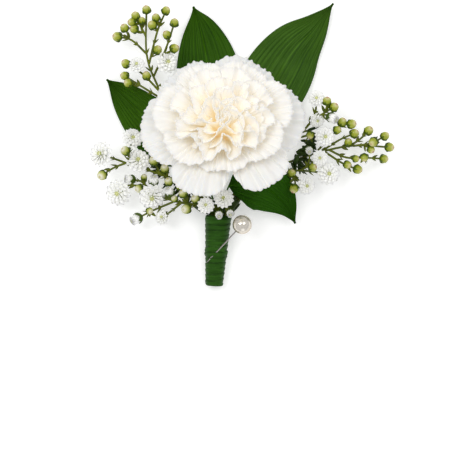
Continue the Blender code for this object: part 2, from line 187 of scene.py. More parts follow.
class Bench:
    """A node tree under construction."""

    def __init__(self, tree):
        self.tree = tree
        self.asked = None
        self.shape = None

    def node(self, kind, settings=None, inputs=(), out=0):
        """Any node: its settings first, then the values or wires of its inputs, by number or name."""
        made = self.tree.nodes.new(kind)
        for name, value in (settings or {}).items():
            if name == "stops":
                self.set_stops(made.color_ramp, value)
            else:
                setattr(made, name, value)
        pairs = inputs.items() if isinstance(inputs, dict) else enumerate(inputs)
        for key, value in pairs:
            for one in value if isinstance(value, list) else [value]:
                if isinstance(one, Wire):
                    self.tree.links.new(one.made.outputs[one.out], made.inputs[key])
                else:
                    made.inputs[key].default_value = one
        return Wire(self, made, out)

    def set_stops(self, ramp, stops):
        for place, colour in stops[2:]:
            ramp.elements.new(place)
        for element, (place, colour) in zip(ramp.elements, stops):
            element.position = place
            element.color = (*colour, 1)

    def ask(self, name, kind="Float"):
        """A named input of the whole tree."""
        self.tree.interface.new_socket(name=name, in_out="INPUT", socket_type="NodeSocket" + kind)
        return Wire(self, self.asked, name)

    def ask_each(self, *names, kind="Float"):
        return [self.ask(name, kind) for name in names]

    def flat_sheet(self, columns, rows):
        """A flat grid, with its places across from -0.5 to 0.5 and along from 0 to 1."""
        sizes = {"Size X": 1.0, "Size Y": 1.0, "Vertices X": columns, "Vertices Y": rows}
        sheet = self.node("GeometryNodeMeshGrid", None, sizes)
        flat = self.node("ShaderNodeSeparateXYZ", None, [self.node("GeometryNodeInputPosition")])
        return sheet, flat["X"], 0.5 + flat["Y"]

    def here(self):
        """The place on the piece, for grain that doesn't follow its length."""
        return self.node("ShaderNodeTexCoord", None, (), "Object")

    def stretched(self, scale):
        """The place on the piece with each axis scaled, for grain that runs one way."""
        return self.node("ShaderNodeMapping", None, {"Vector": self.here(), "Scale": scale})

    def xyz(self, x, y, z):
        return self.node("ShaderNodeCombineXYZ", None, (x, y, z))

    def noise(self, place, scale=1.0, detail=2.0):
        """Smooth noise from about -1 to 1."""
        values = {"Vector": place, "Scale": scale, "Detail": detail}
        return self.node("ShaderNodeTexNoise", None, values) * 2 - 1

    def curve_at(self, line, share):
        """The place and direction at a share of a curve object's length, as six wires."""
        path = self.node("GeometryNodeObjectInfo", None, {"Object": line}, "Geometry")
        found = self.node("GeometryNodeSampleCurve", {"mode": "FACTOR"}, {"Curves": path, "Factor": share})
        place = self.node("ShaderNodeSeparateXYZ", None, [found["Position"]])
        way = self.node("ShaderNodeSeparateXYZ", None, [found["Tangent"]])
        return [place[k] for k in "XYZ"] + [way[k] for k in "XYZ"]

    def radius_at(self, line, share):
        """The radius kept on a curve object, at a share of its length."""
        path = self.node("GeometryNodeObjectInfo", None, {"Object": line}, "Geometry")
        values = {"Curves": path, "Factor": share, 1: self.node("GeometryNodeInputRadius")}
        return self.node("GeometryNodeSampleCurve", {"mode": "FACTOR"}, values, 0)

    def keep(self, shape, **numbers):
        """Stores numbers on every point, for the finish to read."""
        for name, value in numbers.items():
            inputs = {"Geometry": shape, "Name": name, "Value": value}
            shape = self.node("GeometryNodeStoreNamedAttribute", None, inputs)
        return shape

    def move(self, shape, place):
        return self.node("GeometryNodeSetPosition", None, {"Geometry": shape, "Position": place})

    def merge(self, shape, distance):
        return self.node("GeometryNodeMergeByDistance", None, {"Geometry": shape, "Distance": distance})

    def hand_over(self, shape, material):
        """The end of every tree: instances made real, smooth shading and a finish."""
        shape = self.node("GeometryNodeRealizeInstances", None, [shape])
        shape = self.node("GeometryNodeSetShadeSmooth", None, [shape])
        shape = self.node("GeometryNodeSetMaterial", None, {"Geometry": shape, "Material": material})
        self.tree.interface.new_socket(name="Shape", in_out="OUTPUT", socket_type="NodeSocketGeometry")
        self.node("NodeGroupOutput", None, [shape])
        return self.tree


def shape_bench(name):
    """A bench for a new Geometry Nodes tree, whose first input is the object's own shape."""
    bench = Bench(bpy.data.node_groups.new(name, "GeometryNodeTree"))
    bench.asked = bench.tree.nodes.new("NodeGroupInput")
    bench.shape = bench.ask("Shape", "Geometry")
    return bench


# %% Run a tree and keep its result
def new_object(name, data):
    made = bpy.data.objects.new(name, data)
    scene.collection.objects.link(made)
    return made


def grow(tree, values, start=None, thickness=0.0):
    """The mesh that a tree makes from its inputs, with a wall thickness if it is a thin sheet."""
    worker = new_object("worker", start or bpy.data.meshes.new("worker"))
    step = worker.modifiers.new("grow", "NODES")
    step.node_group = tree
    for item in tree.interface.items_tree:
        if item.in_out == "INPUT" and item.name in values:
            step[item.identifier] = values[item.name]
    if thickness:
        wall = worker.modifiers.new("wall", "SOLIDIFY")
        wall.thickness = thickness
        wall.offset = 0
    ready = worker.evaluated_get(bpy.context.evaluated_depsgraph_get())
    mesh = bpy.data.meshes.new_from_object(ready)
    worker.modifiers.clear()
    bpy.data.objects.remove(worker)
    mesh.materials.clear()
    mesh.materials.append(values["Finish"])
    mesh.polygons.foreach_set("material_index", [0] * len(mesh.polygons))
    return mesh


def line_object(name, lines, radii=None):
    """Curves through points, which a tree can follow. Radii taper a tube along each."""
    data = bpy.data.curves.new(name, "CURVE")
    data.dimensions = "3D"
    for k, points in enumerate(lines):
        spline = data.splines.new("POLY")
        spline.points.add(len(points) - 1)
        for i, point in enumerate(points):
            spline.points[i].co = (*point, 1)
            spline.points[i].radius = radii[k][i] if radii else 1
    made = new_object(name, data)
    made.hide_render = True
    return made


def join(name, meshes):
    """One mesh from several, each with one finish."""
    joined = bmesh.new()
    finishes = []
    for mesh in meshes:
        before = len(joined.faces)
        joined.from_mesh(mesh)
        joined.faces.ensure_lookup_table()
        if mesh.materials[0] not in finishes:
            finishes.append(mesh.materials[0])
        for face in joined.faces[before:]:
            face.material_index = finishes.index(mesh.materials[0])
    made = bpy.data.meshes.new(name)
    joined.to_mesh(made)
    joined.free()
    for material in finishes:
        made.materials.append(material)
    return made


def present(name, mesh, slot, *nodes):
    """A finished piece: it rides on the only body and stands for its CAD parts. The slot is not used."""
    piece = new_object(name, mesh)
    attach(piece, "root")
    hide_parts(*nodes)


# %% [markdown]
# ## The finish of a petal
# A carnation petal is thin and waxy and lets light through: white at the fringe, cream where petals shade
# each other, and warm yellow deep in the folds. The warm yellow is painted shade that follows the length of
# the petal towards the claw, so it stays right from every side; the very fringe is painted a little grey as
# painted shade. Each petal carries its length and warmth as numbers on its points, and fine veins run along
# it as a low bump. Light under the surface softens the folds, and a weak painted glow stands for the light
# that thin petals pass on to the ones they cover.


# %% Start a finish
def finish(name, **steady):
    """A material, its bench and its shader. Values that never vary are set on the shader itself."""
    material = bpy.data.materials.new(name)
    material.use_nodes = True
    shader = material.node_tree.nodes["Principled BSDF"]
    for socket, value in steady.items():
        shader.inputs[socket.replace("_", " ")].default_value = value
    return material, Bench(material.node_tree), shader


def plug(bench, wire, shader, socket):
    bench.tree.links.new(wire.made.outputs[wire.out], shader.inputs[socket])


def read(bench, name):
    """A number stored on the points of the piece."""
    return bench.node("ShaderNodeAttribute", {"attribute_name": name}, (), "Fac")


def blend(bench, factor, first, second):
    """A colour between two colours."""
    return bench.node("ShaderNodeMix", {"data_type": "RGBA"}, {0: factor, 6: first, 7: second}, 2)


def relief(bench, shader, height, distance, strength=1.0):
    """Fine unevenness, as a bump that feeds the shader's normal."""
    bump = bench.node("ShaderNodeBump", None, {"Strength": strength, "Distance": distance, "Height": height})
    plug(bench, bump, shader, "Normal")


def petal_finish():
    material, bench, shader = finish(
        "carnation_petal", Subsurface_Weight=0.3, Subsurface_Radius=(0.8, 0.6, 0.4),
        Subsurface_Scale=0.003, Specular_IOR_Level=0.2, Emission_Strength=0.17,
    )
    along = read(bench, "along")
    warm = read(bench, "warm")
    across = read(bench, "across")
    veins = bench.noise(bench.xyz(across * 26, along * 2.5, warm * 9), 1.0, 3)
    depth = along + veins * 0.02
    white = (0.905, 0.895, 0.87, 1)
    cream = (0.97, 0.94, 0.88, 1)
    painted_fold_shade = (0.94, 0.78, 0.44, 1)
    body = blend(bench, warm * (1 - depth.rise(0.8, 1.05) * 0.4), white, cream)
    # painted shade: warm honey towards the claw, more on warm rings, stands for the warm shade deep in the folds
    body = blend(bench, (1 - depth.rise(0.40, 1.0)) * (0.34 + warm * 0.66), body, painted_fold_shade)
    # painted shade: the very fringe is greyed, more on warm rings, for the thin translucent edge
    body = blend(bench, along.rise(0.95, 1.0) * (0.15 + warm * 0.35), body, (0.72, 0.72, 0.71, 1))
    plug(bench, body, shader, "Base Color")
    # painted glow: weak emission, warmer towards the claw and on warm rings, stands for light passed on between
    # petals
    through = blend(bench, along.rise(0.45, 1.0), (1.0, 0.82, 0.54, 1), (0.80, 0.73, 0.60, 1))
    plug(bench, blend(bench, warm * 0.9 + 0.1, (0, 0, 0, 1), through), shader, "Emission Color")
    plug(bench, 0.56 + veins * 0.06, shader, "Roughness")
    relief(bench, shader, veins, 0.0001, 0.3)
    return material


PETAL_WHITE = petal_finish()
print("finish:", PETAL_WHITE.name)

# %% [markdown]
# ## The carnation
# A real carnation holds its petals by narrow claws down in a green tube, the calyx. Each blade fans out as
# it leans away from the axis, is creased by fine flutes, and ends in a scalloped fringe. One tree can make
# every petal: a flat grid is wrapped along a curve, the midline of its ring, and fanned round the axis.
# Flutes and scallops share one wave, so each crease ends in its own lobe, as in the flower. The numbers for
# the finish are stored while the sheet is still flat, since its places across and along are lost once it is
# moved. A bloom is never even all round, so in some rings the length, lean or ruffles change from the front
# of the head to its back.

# %% The head's place and the rings of petals
MOUTH = Vector((-7.5, 3.0, 24.8)) * MM
HEAD_LEAN = math.radians(25)
HEAD = Matrix.Translation(MOUTH) @ Matrix.Rotation(-HEAD_LEAN, 4, "X")
CLAW_LENGTH = 11 * MM
NOTCH_ANGLE = -90
RINGS = {
    "guard": {
        "Count": 6, "Length": 34.5, "Lean": 105, "Claw": 6.1, "Turn": 0.0, "Overlap": 1.26,
        "Flutes": 11, "Flute height": 0.50, "Ruffles": 1.6, "Ruffle height": 1.0, "Curl": 0.8,
        "Cup": -0.9, "Tilt": 0.9, "Lobe": 1.0, "Warmth": 0.0, "Shift": 6.5,
    },
    "outer": {
        "Count": 7, "Length": 32.0, "Lean": 86, "Claw": 5.2, "Turn": 0.5, "Overlap": 1.28,
        "Flutes": 9, "Flute height": 0.50, "Ruffles": 1.8, "Ruffle height": 1.5, "Curl": 1.4,
        "Cup": 0.3, "Tilt": 1.0, "Lobe": 1.0, "Warmth": 0.4,
    },
    "middle": {
        "Count": 8, "Length": 27.5, "Lean": 60, "Claw": 4.35, "Turn": 0.0, "Overlap": 1.3,
        "Flutes": 8, "Flute height": 0.24, "Ruffles": 2.0, "Ruffle height": 2.7, "Curl": 2.6,
        "Cup": 1.0, "Tilt": 1.2, "Lobe": 1.3, "Warmth": 0.6,
    },
    "inner": {
        "Count": 8, "Length": 25.5, "Lean": 42, "Claw": 3.5, "Turn": 0.5, "Overlap": 1.4,
        "Flutes": 8, "Flute height": 0.16, "Ruffles": 1.5, "Ruffle height": 3.3, "Curl": 3.2,
        "Cup": 1.2, "Tilt": 1.6, "Lobe": 1.3, "Warmth": 0.85,
    },
    "heart": {
        "Count": 6, "Length": 23.5, "Lean": 27, "Claw": 2.65, "Turn": 0.0, "Overlap": 1.7,
        "Flutes": 8, "Flute height": 0.10, "Ruffles": 1.2, "Ruffle height": 3.4, "Curl": 2.6,
        "Cup": 1.6, "Tilt": 1.4, "Lobe": 1.0, "Warmth": 1.0,
    },
}
CORE = {"Length": 22.5, "Lean": 12, "Claw": 1.6, "Ruffles": 1.2, "Ruffle height": 3.0, "Overlap": 2.2}
print("petals:", sum(ring["Count"] for ring in RINGS.values()))


# %% The midline of a ring: up the claw, then leaning out more and more
def midline(length, lean, claw):
    """X is the distance from the head's axis and Z the height over the calyx's mouth."""
    steps = 60
    reach = claw
    rise = 0.0
    points = [(reach, 0, -CLAW_LENGTH), (reach, 0, 0)]
    for i in range(steps):
        angle = math.radians(lean) * (1 - (1 - (i + 0.5) / steps) ** 2)
        reach += length / steps * math.sin(angle)
        rise += length / steps * math.cos(angle)
        points.append((reach, 0, rise))
    return line_object("midline", [points])


# %% The petal tree
def petal_tree():
    bench = shape_bench("petal")
    line = bench.ask("Midline", "Object")
    rows, columns = bench.ask_each("Rows", "Columns", kind="Int")
    claw_share, facing, half, overlap = bench.ask_each("Claw share", "Facing", "Half angle", "Overlap")
    flutes, flute_height, lobe, corner = bench.ask_each("Flutes", "Flute height", "Lobe", "Corner")
    ruffles, ruffle_height, curl = bench.ask_each("Ruffles", "Ruffle height", "Curl")
    cup, tilt, bend, warmth, seed = bench.ask_each("Cup", "Tilt", "Bend", "Warmth", "Seed")
    material = bench.ask("Finish", "Material")

    sheet, flat_x, along = bench.flat_sheet(columns, rows)
    across = flat_x * 2
    blade = ((along - claw_share) / (1 - claw_share)).most(0)
    wander = bench.noise(bench.xyz(across * 2.2, along * 0.7, seed), 1.0, 1)
    patch = bench.noise(bench.xyz(across * 1.3 + 7, along * 1.6, seed + 3), 1.0, 2)
    lobes = bench.noise(bench.xyz(across * flutes * 0.5, seed * 3, seed), 1.0, 1)
    phase = flutes * math.pi * (across + wander * 0.20)
    crease = phase.cos()
    scallop = 1 - abs(crease) ** 0.7
    shorten = lobe * (scallop * 0.6 + lobes * 0.5 + 0.2) * blade ** 3
    corners = corner * abs(across) ** 5 + 0.08 * across * across
    share = along * (1 - corners * blade ** 2) - shorten * 0.025
    place_x, _, place_z, way_x, _, way_z = bench.curve_at(line, share)

    wave = (ruffles * math.pi * (across + wander * 0.22) + seed * 2.1).sin()
    lift = crease * flute_height * blade ** 1.3
    lift = lift + ruffle_height * (wave * 0.75 + patch * 0.9) * blade ** 1.7
    lift = lift + cup * across * across * blade + tilt * across * blade ** 0.7 + bend * blade * blade
    lift = lift * MM
    out = place_x - way_z * lift
    height = place_z + way_x * lift
    swing = (wave + patch).cos() * curl * MM * blade ** 1.5 / out.most(3 * MM)
    spread = half * (1 + (overlap - 1) * blade.rise(0.0, 0.4))
    angle = facing + across * spread + swing
    moved = bench.xyz(out * angle.cos(), out * angle.sin(), height)
    sheet = bench.keep(sheet, along=along, across=across, warm=warmth)
    return bench.hand_over(bench.move(sheet, moved), material)


PETAL_TREE = petal_tree()
print("petal tree:", len(PETAL_TREE.nodes), "nodes")


# %% Grow every petal
def grow_petal(ring, index, changes=None):
    """One petal of a ring, in place on the head."""
    values = {**RINGS[ring], **(changes or {})}
    pick = random.Random(f"{ring} {index}")
    turn = (index + 0.5 + values["Turn"]) / values["Count"]
    facing = math.radians(NOTCH_ANGLE + values.pop("Shift", 0.0)) + math.tau * turn
    front = (1 - math.sin(facing)) / 2
    if ring in ("middle", "inner"):
        values["Ruffle height"] *= 0.55 + 0.9 * front
    if ring == "outer":
        values["Length"] -= 4.5 * front ** 3 + 3.5 * (1 - front) ** 3
        values["Lean"] -= 12 * front ** 3
    if ring == "guard":
        values["Length"] -= 4.3 * (1 - front) ** 3
    line = midline(values["Length"] * MM, values["Lean"], values["Claw"] * MM)
    total = values["Length"] * MM + CLAW_LENGTH
    values = {k: float(v) for k, v in values.items() if k not in ("Count", "Length", "Lean", "Claw", "Turn")}
    values |= {
        "Midline": line, "Rows": 40, "Columns": 150, "Claw share": CLAW_LENGTH / total,
        "Facing": facing, "Half angle": math.pi / RINGS[ring]["Count"] * 0.97,
        "Bend": pick.uniform(-1.2, 1.2),
        "Corner": values.get("Corner", 0.07), "Seed": float(pick.uniform(1, 60)), "Finish": PETAL_WHITE,
    }
    mesh = grow(PETAL_TREE, values, thickness=0.3 * MM)
    bpy.data.objects.remove(line)
    mesh.transform(HEAD)
    return mesh


FAN = {"Overlap": 0.98, "Tilt": 0.0, "Flutes": 7, "Flute height": 0.7, "Corner": 0.16, "Cup": -1.6}
FANS = {("guard", 0): FAN, ("guard", 5): FAN}
for ring, sizes in RINGS.items():
    for index in range(sizes["Count"]):
        meshes = [grow_petal(ring, index, FANS.get((ring, index)))]
        if ring == "heart":
            meshes.append(grow_petal(ring, index, {**CORE, "Turn": 0.5}))
        petal = join(f"{ring}_petal", meshes)
        present(f"{ring}_petal_{index + 1}", petal, "petal_white", f"petal_{ring}_{index + 1}")

# %% [markdown]
# ## Turned forms
# The calyx, the buds, the pin and the pearl are all round about an axis, like work on a lathe. A profile
# curve holds the radius against the height, and the tree sweeps it round. Ribs and teeth are added as waves
# round the axis, so a plain cup becomes a ribbed calyx with pointed teeth. A tuck draws the tips of the teeth
# in, as sepals press on a bud. Where the sweep meets itself the points are merged, so every form is closed.


# %% The turned tree
SEAM = 1e-7


def turned_tree():
    bench = shape_bench("turned")
    profile = bench.ask("Profile", "Object")
    around, rings = bench.ask_each("Around", "Along", kind="Int")
    ribs, rib_depth, rough, tuck = bench.ask_each("Ribs", "Rib depth", "Unevenness", "Tuck")
    teeth, tooth, tooth_at, tooth_width = bench.ask_each("Teeth", "Tooth", "Tooth at", "Tooth width")
    material = bench.ask("Finish", "Material")
    sheet, flat_x, along = bench.flat_sheet(around, rings)
    angle = flat_x * math.tau
    radius, _, height, _, _, _ = bench.curve_at(profile, along)
    near = (1 - abs(along - tooth_at) / tooth_width).most(0)
    pointed = 1 - abs((angle * teeth * 0.5).sin()) * 2
    height = height + tooth * pointed * near
    spots = bench.xyz(angle.cos() * radius * 900, angle.sin() * radius * 900, height * 900)
    radius = radius * (1 + (angle * ribs).cos() * rib_depth * (1 - near) + bench.noise(spots) * rough)
    radius = radius - tuck * (pointed * near).most(0)
    moved = bench.xyz(radius * angle.cos(), radius * angle.sin(), height)
    sheet = bench.keep(sheet, along=along, across=flat_x * 2)
    return bench.hand_over(bench.merge(bench.move(sheet, moved), SEAM), material)


TURNED_TREE = turned_tree()


def rounded(points, steps=6):
    """A Catmull-Rom line through the points."""
    points = [Vector(p) for p in points]
    ends = [2 * points[0] - points[1], *points, 2 * points[-1] - points[-2]]
    line = []
    for a, b, c, d in zip(ends, ends[1:], ends[2:], ends[3:]):
        for i in range(steps):
            t = i / steps
            line.append(
                0.5 * (2 * b + (c - a) * t + (2 * a - 5 * b + 4 * c - d) * t * t
                       + (3 * b - a - 3 * c + d) * t ** 3)
            )
    line.append(points[-1].copy())
    return line


def turn(profile, material, around=64, along=80, steps=6, unit=MM, **waves):
    """A closed turned form from (radius, height) pairs."""
    outline = rounded([(radius, 0, height) for radius, height in profile], steps)
    curve = line_object("profile", [[Vector((max(p.x, 0) * unit, 0, p.z * unit)) for p in outline]])
    values = {"Profile": curve, "Around": around + 1, "Along": along, "Finish": material}
    values |= {"Teeth": 0.0, "Tooth": 0.0, "Tooth at": 0.5, "Tooth width": 0.1, "Tuck": 0.0}
    values |= {"Ribs": 0.0, "Rib depth": 0.0, "Unevenness": 0.0}
    values |= {name.replace("_", " "): float(value) for name, value in waves.items()}
    values["Tooth"] *= unit
    mesh = grow(TURNED_TREE, values)
    bpy.data.objects.remove(curve)
    outward(mesh)
    return mesh


def outward(mesh):
    """Points all faces of a closed mesh outwards."""
    work = bmesh.new()
    work.from_mesh(mesh)
    bmesh.ops.recalc_face_normals(work, faces=work.faces)
    work.to_mesh(mesh)
    work.free()


def stand(mesh, foot, way):
    """Moves a turned form so that its axis starts at foot and points along way."""
    mesh.transform(Matrix.Translation(foot) @ way.to_track_quat("Z", "Y").to_matrix().to_4x4())
    return mesh


# %% [markdown]
# ## Greens
# Calyx, stems, twigs and buds are all living green, but no two greens match. One recipe makes the calyx, stem,
# twigs and leaflets: two greens blended by soft blotches, a finer grain, and a low bump. Only the numbers change.


# %% Green finishes
def green_finish(name, dark, light, rough=0.45, spots=260.0, bump=0.00008, **steady):
    material, bench, shader = finish(name, Specular_IOR_Level=0.3, **steady)
    place = bench.here()
    blotches = bench.noise(place, spots, 3)
    fine = bench.noise(place, spots * 7, 2)
    tone = (0.5 + blotches * 0.9 + fine * 0.15).clamp()
    plug(bench, blend(bench, tone, (*dark, 1), (*light, 1)), shader, "Base Color")
    plug(bench, rough + fine * 0.08, shader, "Roughness")
    relief(bench, shader, blotches + fine * 0.5, bump, 0.6)
    return material


CALYX_GREEN = green_finish("calyx_skin", (0.045, 0.11, 0.012), (0.11, 0.20, 0.03), 0.5)
STEM_GREEN = green_finish("cut_stem", (0.05, 0.12, 0.018), (0.11, 0.2, 0.045), 0.5)
TWIG_GREEN = green_finish("twig", (0.045, 0.065, 0.001), (0.165, 0.200, 0.005), 0.5)
LEAFLET_GREEN = green_finish("leaflet", (0.010, 0.028, 0.001), (0.040, 0.080, 0.004), 0.5)
print("greens:", CALYX_GREEN.name, STEM_GREEN.name, TWIG_GREEN.name)

# %% [markdown]
# ## Calyx and stem
# Under the bloom a green tube grips the claws. It has five pointed teeth, faint ribs, and a second ring of
# short scales at its foot. The stem below swells at a joint. Both hide in the front view but show from
# the side, so they get their full shape: two turned forms for the calyx and a round tube for the stem.

# %% Calyx
tube_profile = [
    (0, -18.2), (2.2, -18.15), (3.8, -17.7), (5.6, -16.5), (6.9, -14.2), (7.35, -11), (7.35, -6), (7.3, -2.5),
    (7.5, -0.6), (7.3, -0.3), (6.9, -2.5), (6.75, -6), (6.7, -10.8), (5.5, -11.4), (0, -11.5),
]
scale_profile = [
    (1.6, -18.7), (4.2, -18.3), (6.1, -16.9), (7.35, -14.4), (7.75, -11.6), (7.6, -11.2), (7.3, -12.5),
    (6.6, -15), (4.6, -17.3), (1.6, -18.2), (1.6, -18.7),
]
calyx_meshes = [
    turn(tube_profile, CALYX_GREEN, 120, 120, Ribs=20, Rib_depth=0.012, Teeth=5, Tooth=1.5, Tooth_at=0.55,
         Tooth_width=0.13, Unevenness=0.004),
    turn(scale_profile, CALYX_GREEN, 96, 90, Ribs=12, Rib_depth=0.006, Teeth=4, Tooth=1.9, Tooth_at=0.46,
         Tooth_width=0.34, Unevenness=0.004),
]
calyx_mesh = join("calyx_cup", calyx_meshes)
calyx_mesh.transform(HEAD)
present("calyx_cup", calyx_mesh, "calyx_green", "calyx")
print("calyx faces:", len(calyx_mesh.polygons))


# %% The tube tree: a round stem along any number of lines
def tube_tree():
    bench = shape_bench("tube")
    lines = bench.ask("Lines", "Object")
    sides = bench.ask("Sides", "Int")
    rough = bench.ask("Unevenness")
    material = bench.ask("Finish", "Material")
    path = bench.node("GeometryNodeObjectInfo", None, {"Object": lines}, "Geometry")
    ring = bench.node("GeometryNodeCurvePrimitiveCircle", None, {"Resolution": sides, "Radius": 1.0})
    radius = bench.node("GeometryNodeInputRadius")
    values = {"Curve": path, "Profile Curve": ring, "Scale": radius, "Fill Caps": True}
    shape = bench.node("GeometryNodeCurveToMesh", None, values)
    place = bench.node("GeometryNodeInputPosition")
    bumps = bench.node("ShaderNodeTexNoise", None, {"Vector": place, "Scale": 900.0, "Detail": 2.0}) - 0.5
    values = {"Vector": bench.node("GeometryNodeInputNormal"), "Scale": bumps * rough}
    push = bench.node("ShaderNodeVectorMath", {"operation": "SCALE"}, values)
    shape = bench.node("GeometryNodeSetPosition", None, {"Geometry": shape, "Offset": push})
    return bench.hand_over(shape, material)


TUBE_TREE = tube_tree()


def tubes(lines, radii, material, sides=8, rough=0.0):
    """One mesh of round stems. Each line has a radius at its start and its end, or one for every point."""
    spread = []
    for line, ends in zip(lines, radii):
        last = len(line) - 1
        if len(ends) == 2:
            ends = [ends[0] + (ends[1] - ends[0]) * i / last for i in range(last + 1)]
        spread.append(ends)
    curve = line_object("lines", lines, spread)
    values = {"Lines": curve, "Sides": sides, "Unevenness": rough, "Finish": material}
    mesh = grow(TUBE_TREE, values)
    bpy.data.objects.remove(curve)
    outward(mesh)
    return mesh


def mm(points):
    return [Vector(p) * MM for p in points]


# %% The bundle of stems inside the wrap, and the carnation's stem
WRAP_FOOT = Vector((-11.3, -58.4, 3.67)) * MM
WRAP_TOP = Vector((-9.5, -29.5, 6.2)) * MM
RING_FOOT_RADIUS = 2.26 * MM
RING_TOP_RADIUS = 3.04 * MM


def in_bundle(place, beyond):
    """The line of a thin stem: straight up the wrap at its place round the thick one, then curving on."""
    turn_by = math.radians(place)
    out = Vector((math.cos(turn_by), 0, math.sin(turn_by)))
    foot = WRAP_FOOT + RING_FOOT_RADIUS * out
    top = WRAP_TOP + RING_TOP_RADIUS * out
    return [foot] + rounded([top, top.lerp(foot, -0.08), *beyond], 5)


calyx_foot = HEAD @ Vector((0, 0, -17.6 * MM))
stem_points = [WRAP_FOOT, WRAP_FOOT.lerp(WRAP_TOP, 0.5), WRAP_TOP]
stem_points += mm([(-8.9, -20, 6.2), (-8.2, -12, 5.0), (-7.7, -8.0, 4.9), (-7.5, -6.0, 6.0)]) + [calyx_foot]
stem_line = rounded(stem_points, 10)
joint = min(range(len(stem_line)), key=lambda i: abs(stem_line[i].y + 13 * MM))
stem_radii = [1.4 * MM * (1 + 0.4 * math.exp(-((i - joint) / 2.2) ** 2)) for i in range(len(stem_line))]
stalk_mesh = tubes([stem_line], [stem_radii], STEM_GREEN, 20, 0.05 * MM)
present("carnation_stalk", stalk_mesh, "stem_green", "carnation_stem")
print("stem length in mm:", round(sum((b - a).length for a, b in zip(stem_line, stem_line[1:])) / MM))

# %% [markdown]
# ## Leaves
# The broad leaves behind the bloom are leathery and satin, folded a little along the midrib, with veins that
# run from base to tip and meet at both ends. A leaf is a flat grid laid along its midrib: its width follows
# a rule, its fold lifts both edges, and each vein is a shallow groove at a constant share of the width.


# %% The leaf tree
def leaf_tree():
    bench = shape_bench("leaf")
    line = bench.ask("Midrib", "Object")
    rows, columns = bench.ask_each("Rows", "Columns", kind="Int")
    fold, veins, wave_height, seed = bench.ask_each("Fold", "Veins", "Wave height", "Seed")
    material = bench.ask("Finish", "Material")
    sheet, flat_x, along = bench.flat_sheet(columns, rows)
    across = flat_x * 2
    rib_x, rib_y, rib_z, way_x, way_y, _ = bench.curve_at(line, along)
    half = bench.radius_at(line, along)
    wave = bench.noise(bench.xyz(across * 0.6, along * 3.2, seed), 1.0, 1)
    broad = half.rise(1 * MM, 5 * MM)
    groove = (1 - abs((across * veins * math.pi).sin()).rise(0.0, 0.55)) * 0.04 * MM * broad
    rib = (1 - (abs(across) * half).rise(0.1 * MM, 0.9 * MM)) * 0.30 * MM * broad
    lift = fold * half * abs(across) ** 1.3 + wave * wave_height * MM * across * across - groove - rib
    level = (way_x * way_x + way_y * way_y) ** 0.5
    side = across * half / level
    height = (rib_z + lift).most(0.25 * MM)
    moved = bench.xyz(rib_x + side * way_y, rib_y - side * way_x, height)
    sheet = bench.keep(sheet, along=along, across=across)
    return bench.hand_over(bench.move(sheet, moved), material)


LEAF_TREE = leaf_tree()


# %% The finish of a leaf
def leaf_finish(name, dark, light, rough):
    material, bench, shader = finish(name, Specular_IOR_Level=0.09)
    along = read(bench, "along")
    across = read(bench, "across")
    streaks = bench.noise(bench.xyz(across * 16, along * 1.6, 0.0), 1.0, 4)
    fine = bench.noise(bench.xyz(across * 70, along * 5, 3.0), 1.0, 2)
    veins = abs((across * 7 * math.pi).sin()) ** 0.8
    place = bench.here()
    cells = bench.noise(place, 1500.0, 2)
    middle = 1 - abs(across).rise(0.0, 0.05)
    # painted sheen: broad soft blotches lighten the tone, for the leaf's satin sheen
    painted_sheen = bench.noise(place, 45.0, 2)
    tone = 0.80 + streaks * 0.9 + fine * 0.4 - veins * 0.3 + middle * 0.4 + painted_sheen * 0.5
    plug(bench, blend(bench, tone.clamp(), (*dark, 1), (*light, 1)), shader, "Base Color")
    plug(bench, rough + fine * 0.05 + cells * 0.04, shader, "Roughness")
    relief(bench, shader, veins * 0.6 + fine * 0.35 + cells * 0.15, 0.0004, 1.0)
    return material


# %% Grow the leaves
LEAVES = {
    "leaf_top": {
        "petiole": [(-10, -22, 2.8), (-10.4, -12, 1.3)],
        "rib": [(-11, -4, 0.4), (-12, 12, 0.1), (-14, 32, 0.1), (-16.8, 47.5, 1.4), (-19.9, 57.2, 3.2)],
        "half_width": 13.9, "fold": 9, "place": 270,
    },
    "leaf_right": {
        "petiole": [(-7.5, -23, 3.4), (-3.4, -13, 2.4)],
        "rib": [
            (0.5, -3, 3.0), (6, 12, 2.9), (14.4, 27.4, 0.8),
            (22.0, 39.5, 0.1), (30.5, 48.8, 1.5), (38.1, 58.4, 3.6),
        ],
        "half_width": 14.3, "fold": 9, "place": 300,
    },
    "leaf_left": {
        "petiole": [(-11.5, -23, 3.6), (-16, -14, 1.8)],
        "rib": [(-20.5, -7, 2.2), (-30, 0.5, 1.2), (-39.5, 10.5, 0.1), (-49, 20.5, 1.6), (-55.8, 27, 3.2)],
        "half_width": 10.8, "fold": 11, "place": 240,
    },
    "leaf_low": {
        "petiole": [(-7.6, -25, 10.2), (-6.4, -21, 11.0)],
        "rib": [
            (-5, -17.5, 10.8), (2, -16.6, 10.6), (9, -17.6, 9.6),
            (14.6, -21.4, 8), (19.0, -26.4, 6.2), (22.3, -32.7, 4.4),
        ],
        "half_width": 10.4, "fold": 16, "place": 60,
    },
}
LEAF_LOOKS = {
    "leaf_top": ((0.008, 0.040, 0.0003), (0.050, 0.150, 0.003), 0.40),
    "leaf_right": ((0.008, 0.040, 0.001), (0.070, 0.175, 0.014), 0.38),
    "leaf_left": ((0.008, 0.042, 0.0004), (0.056, 0.160, 0.003), 0.40),
    "leaf_low": ((0.006, 0.042, 0.0001), (0.026, 0.115, 0.0003), 0.36),
}


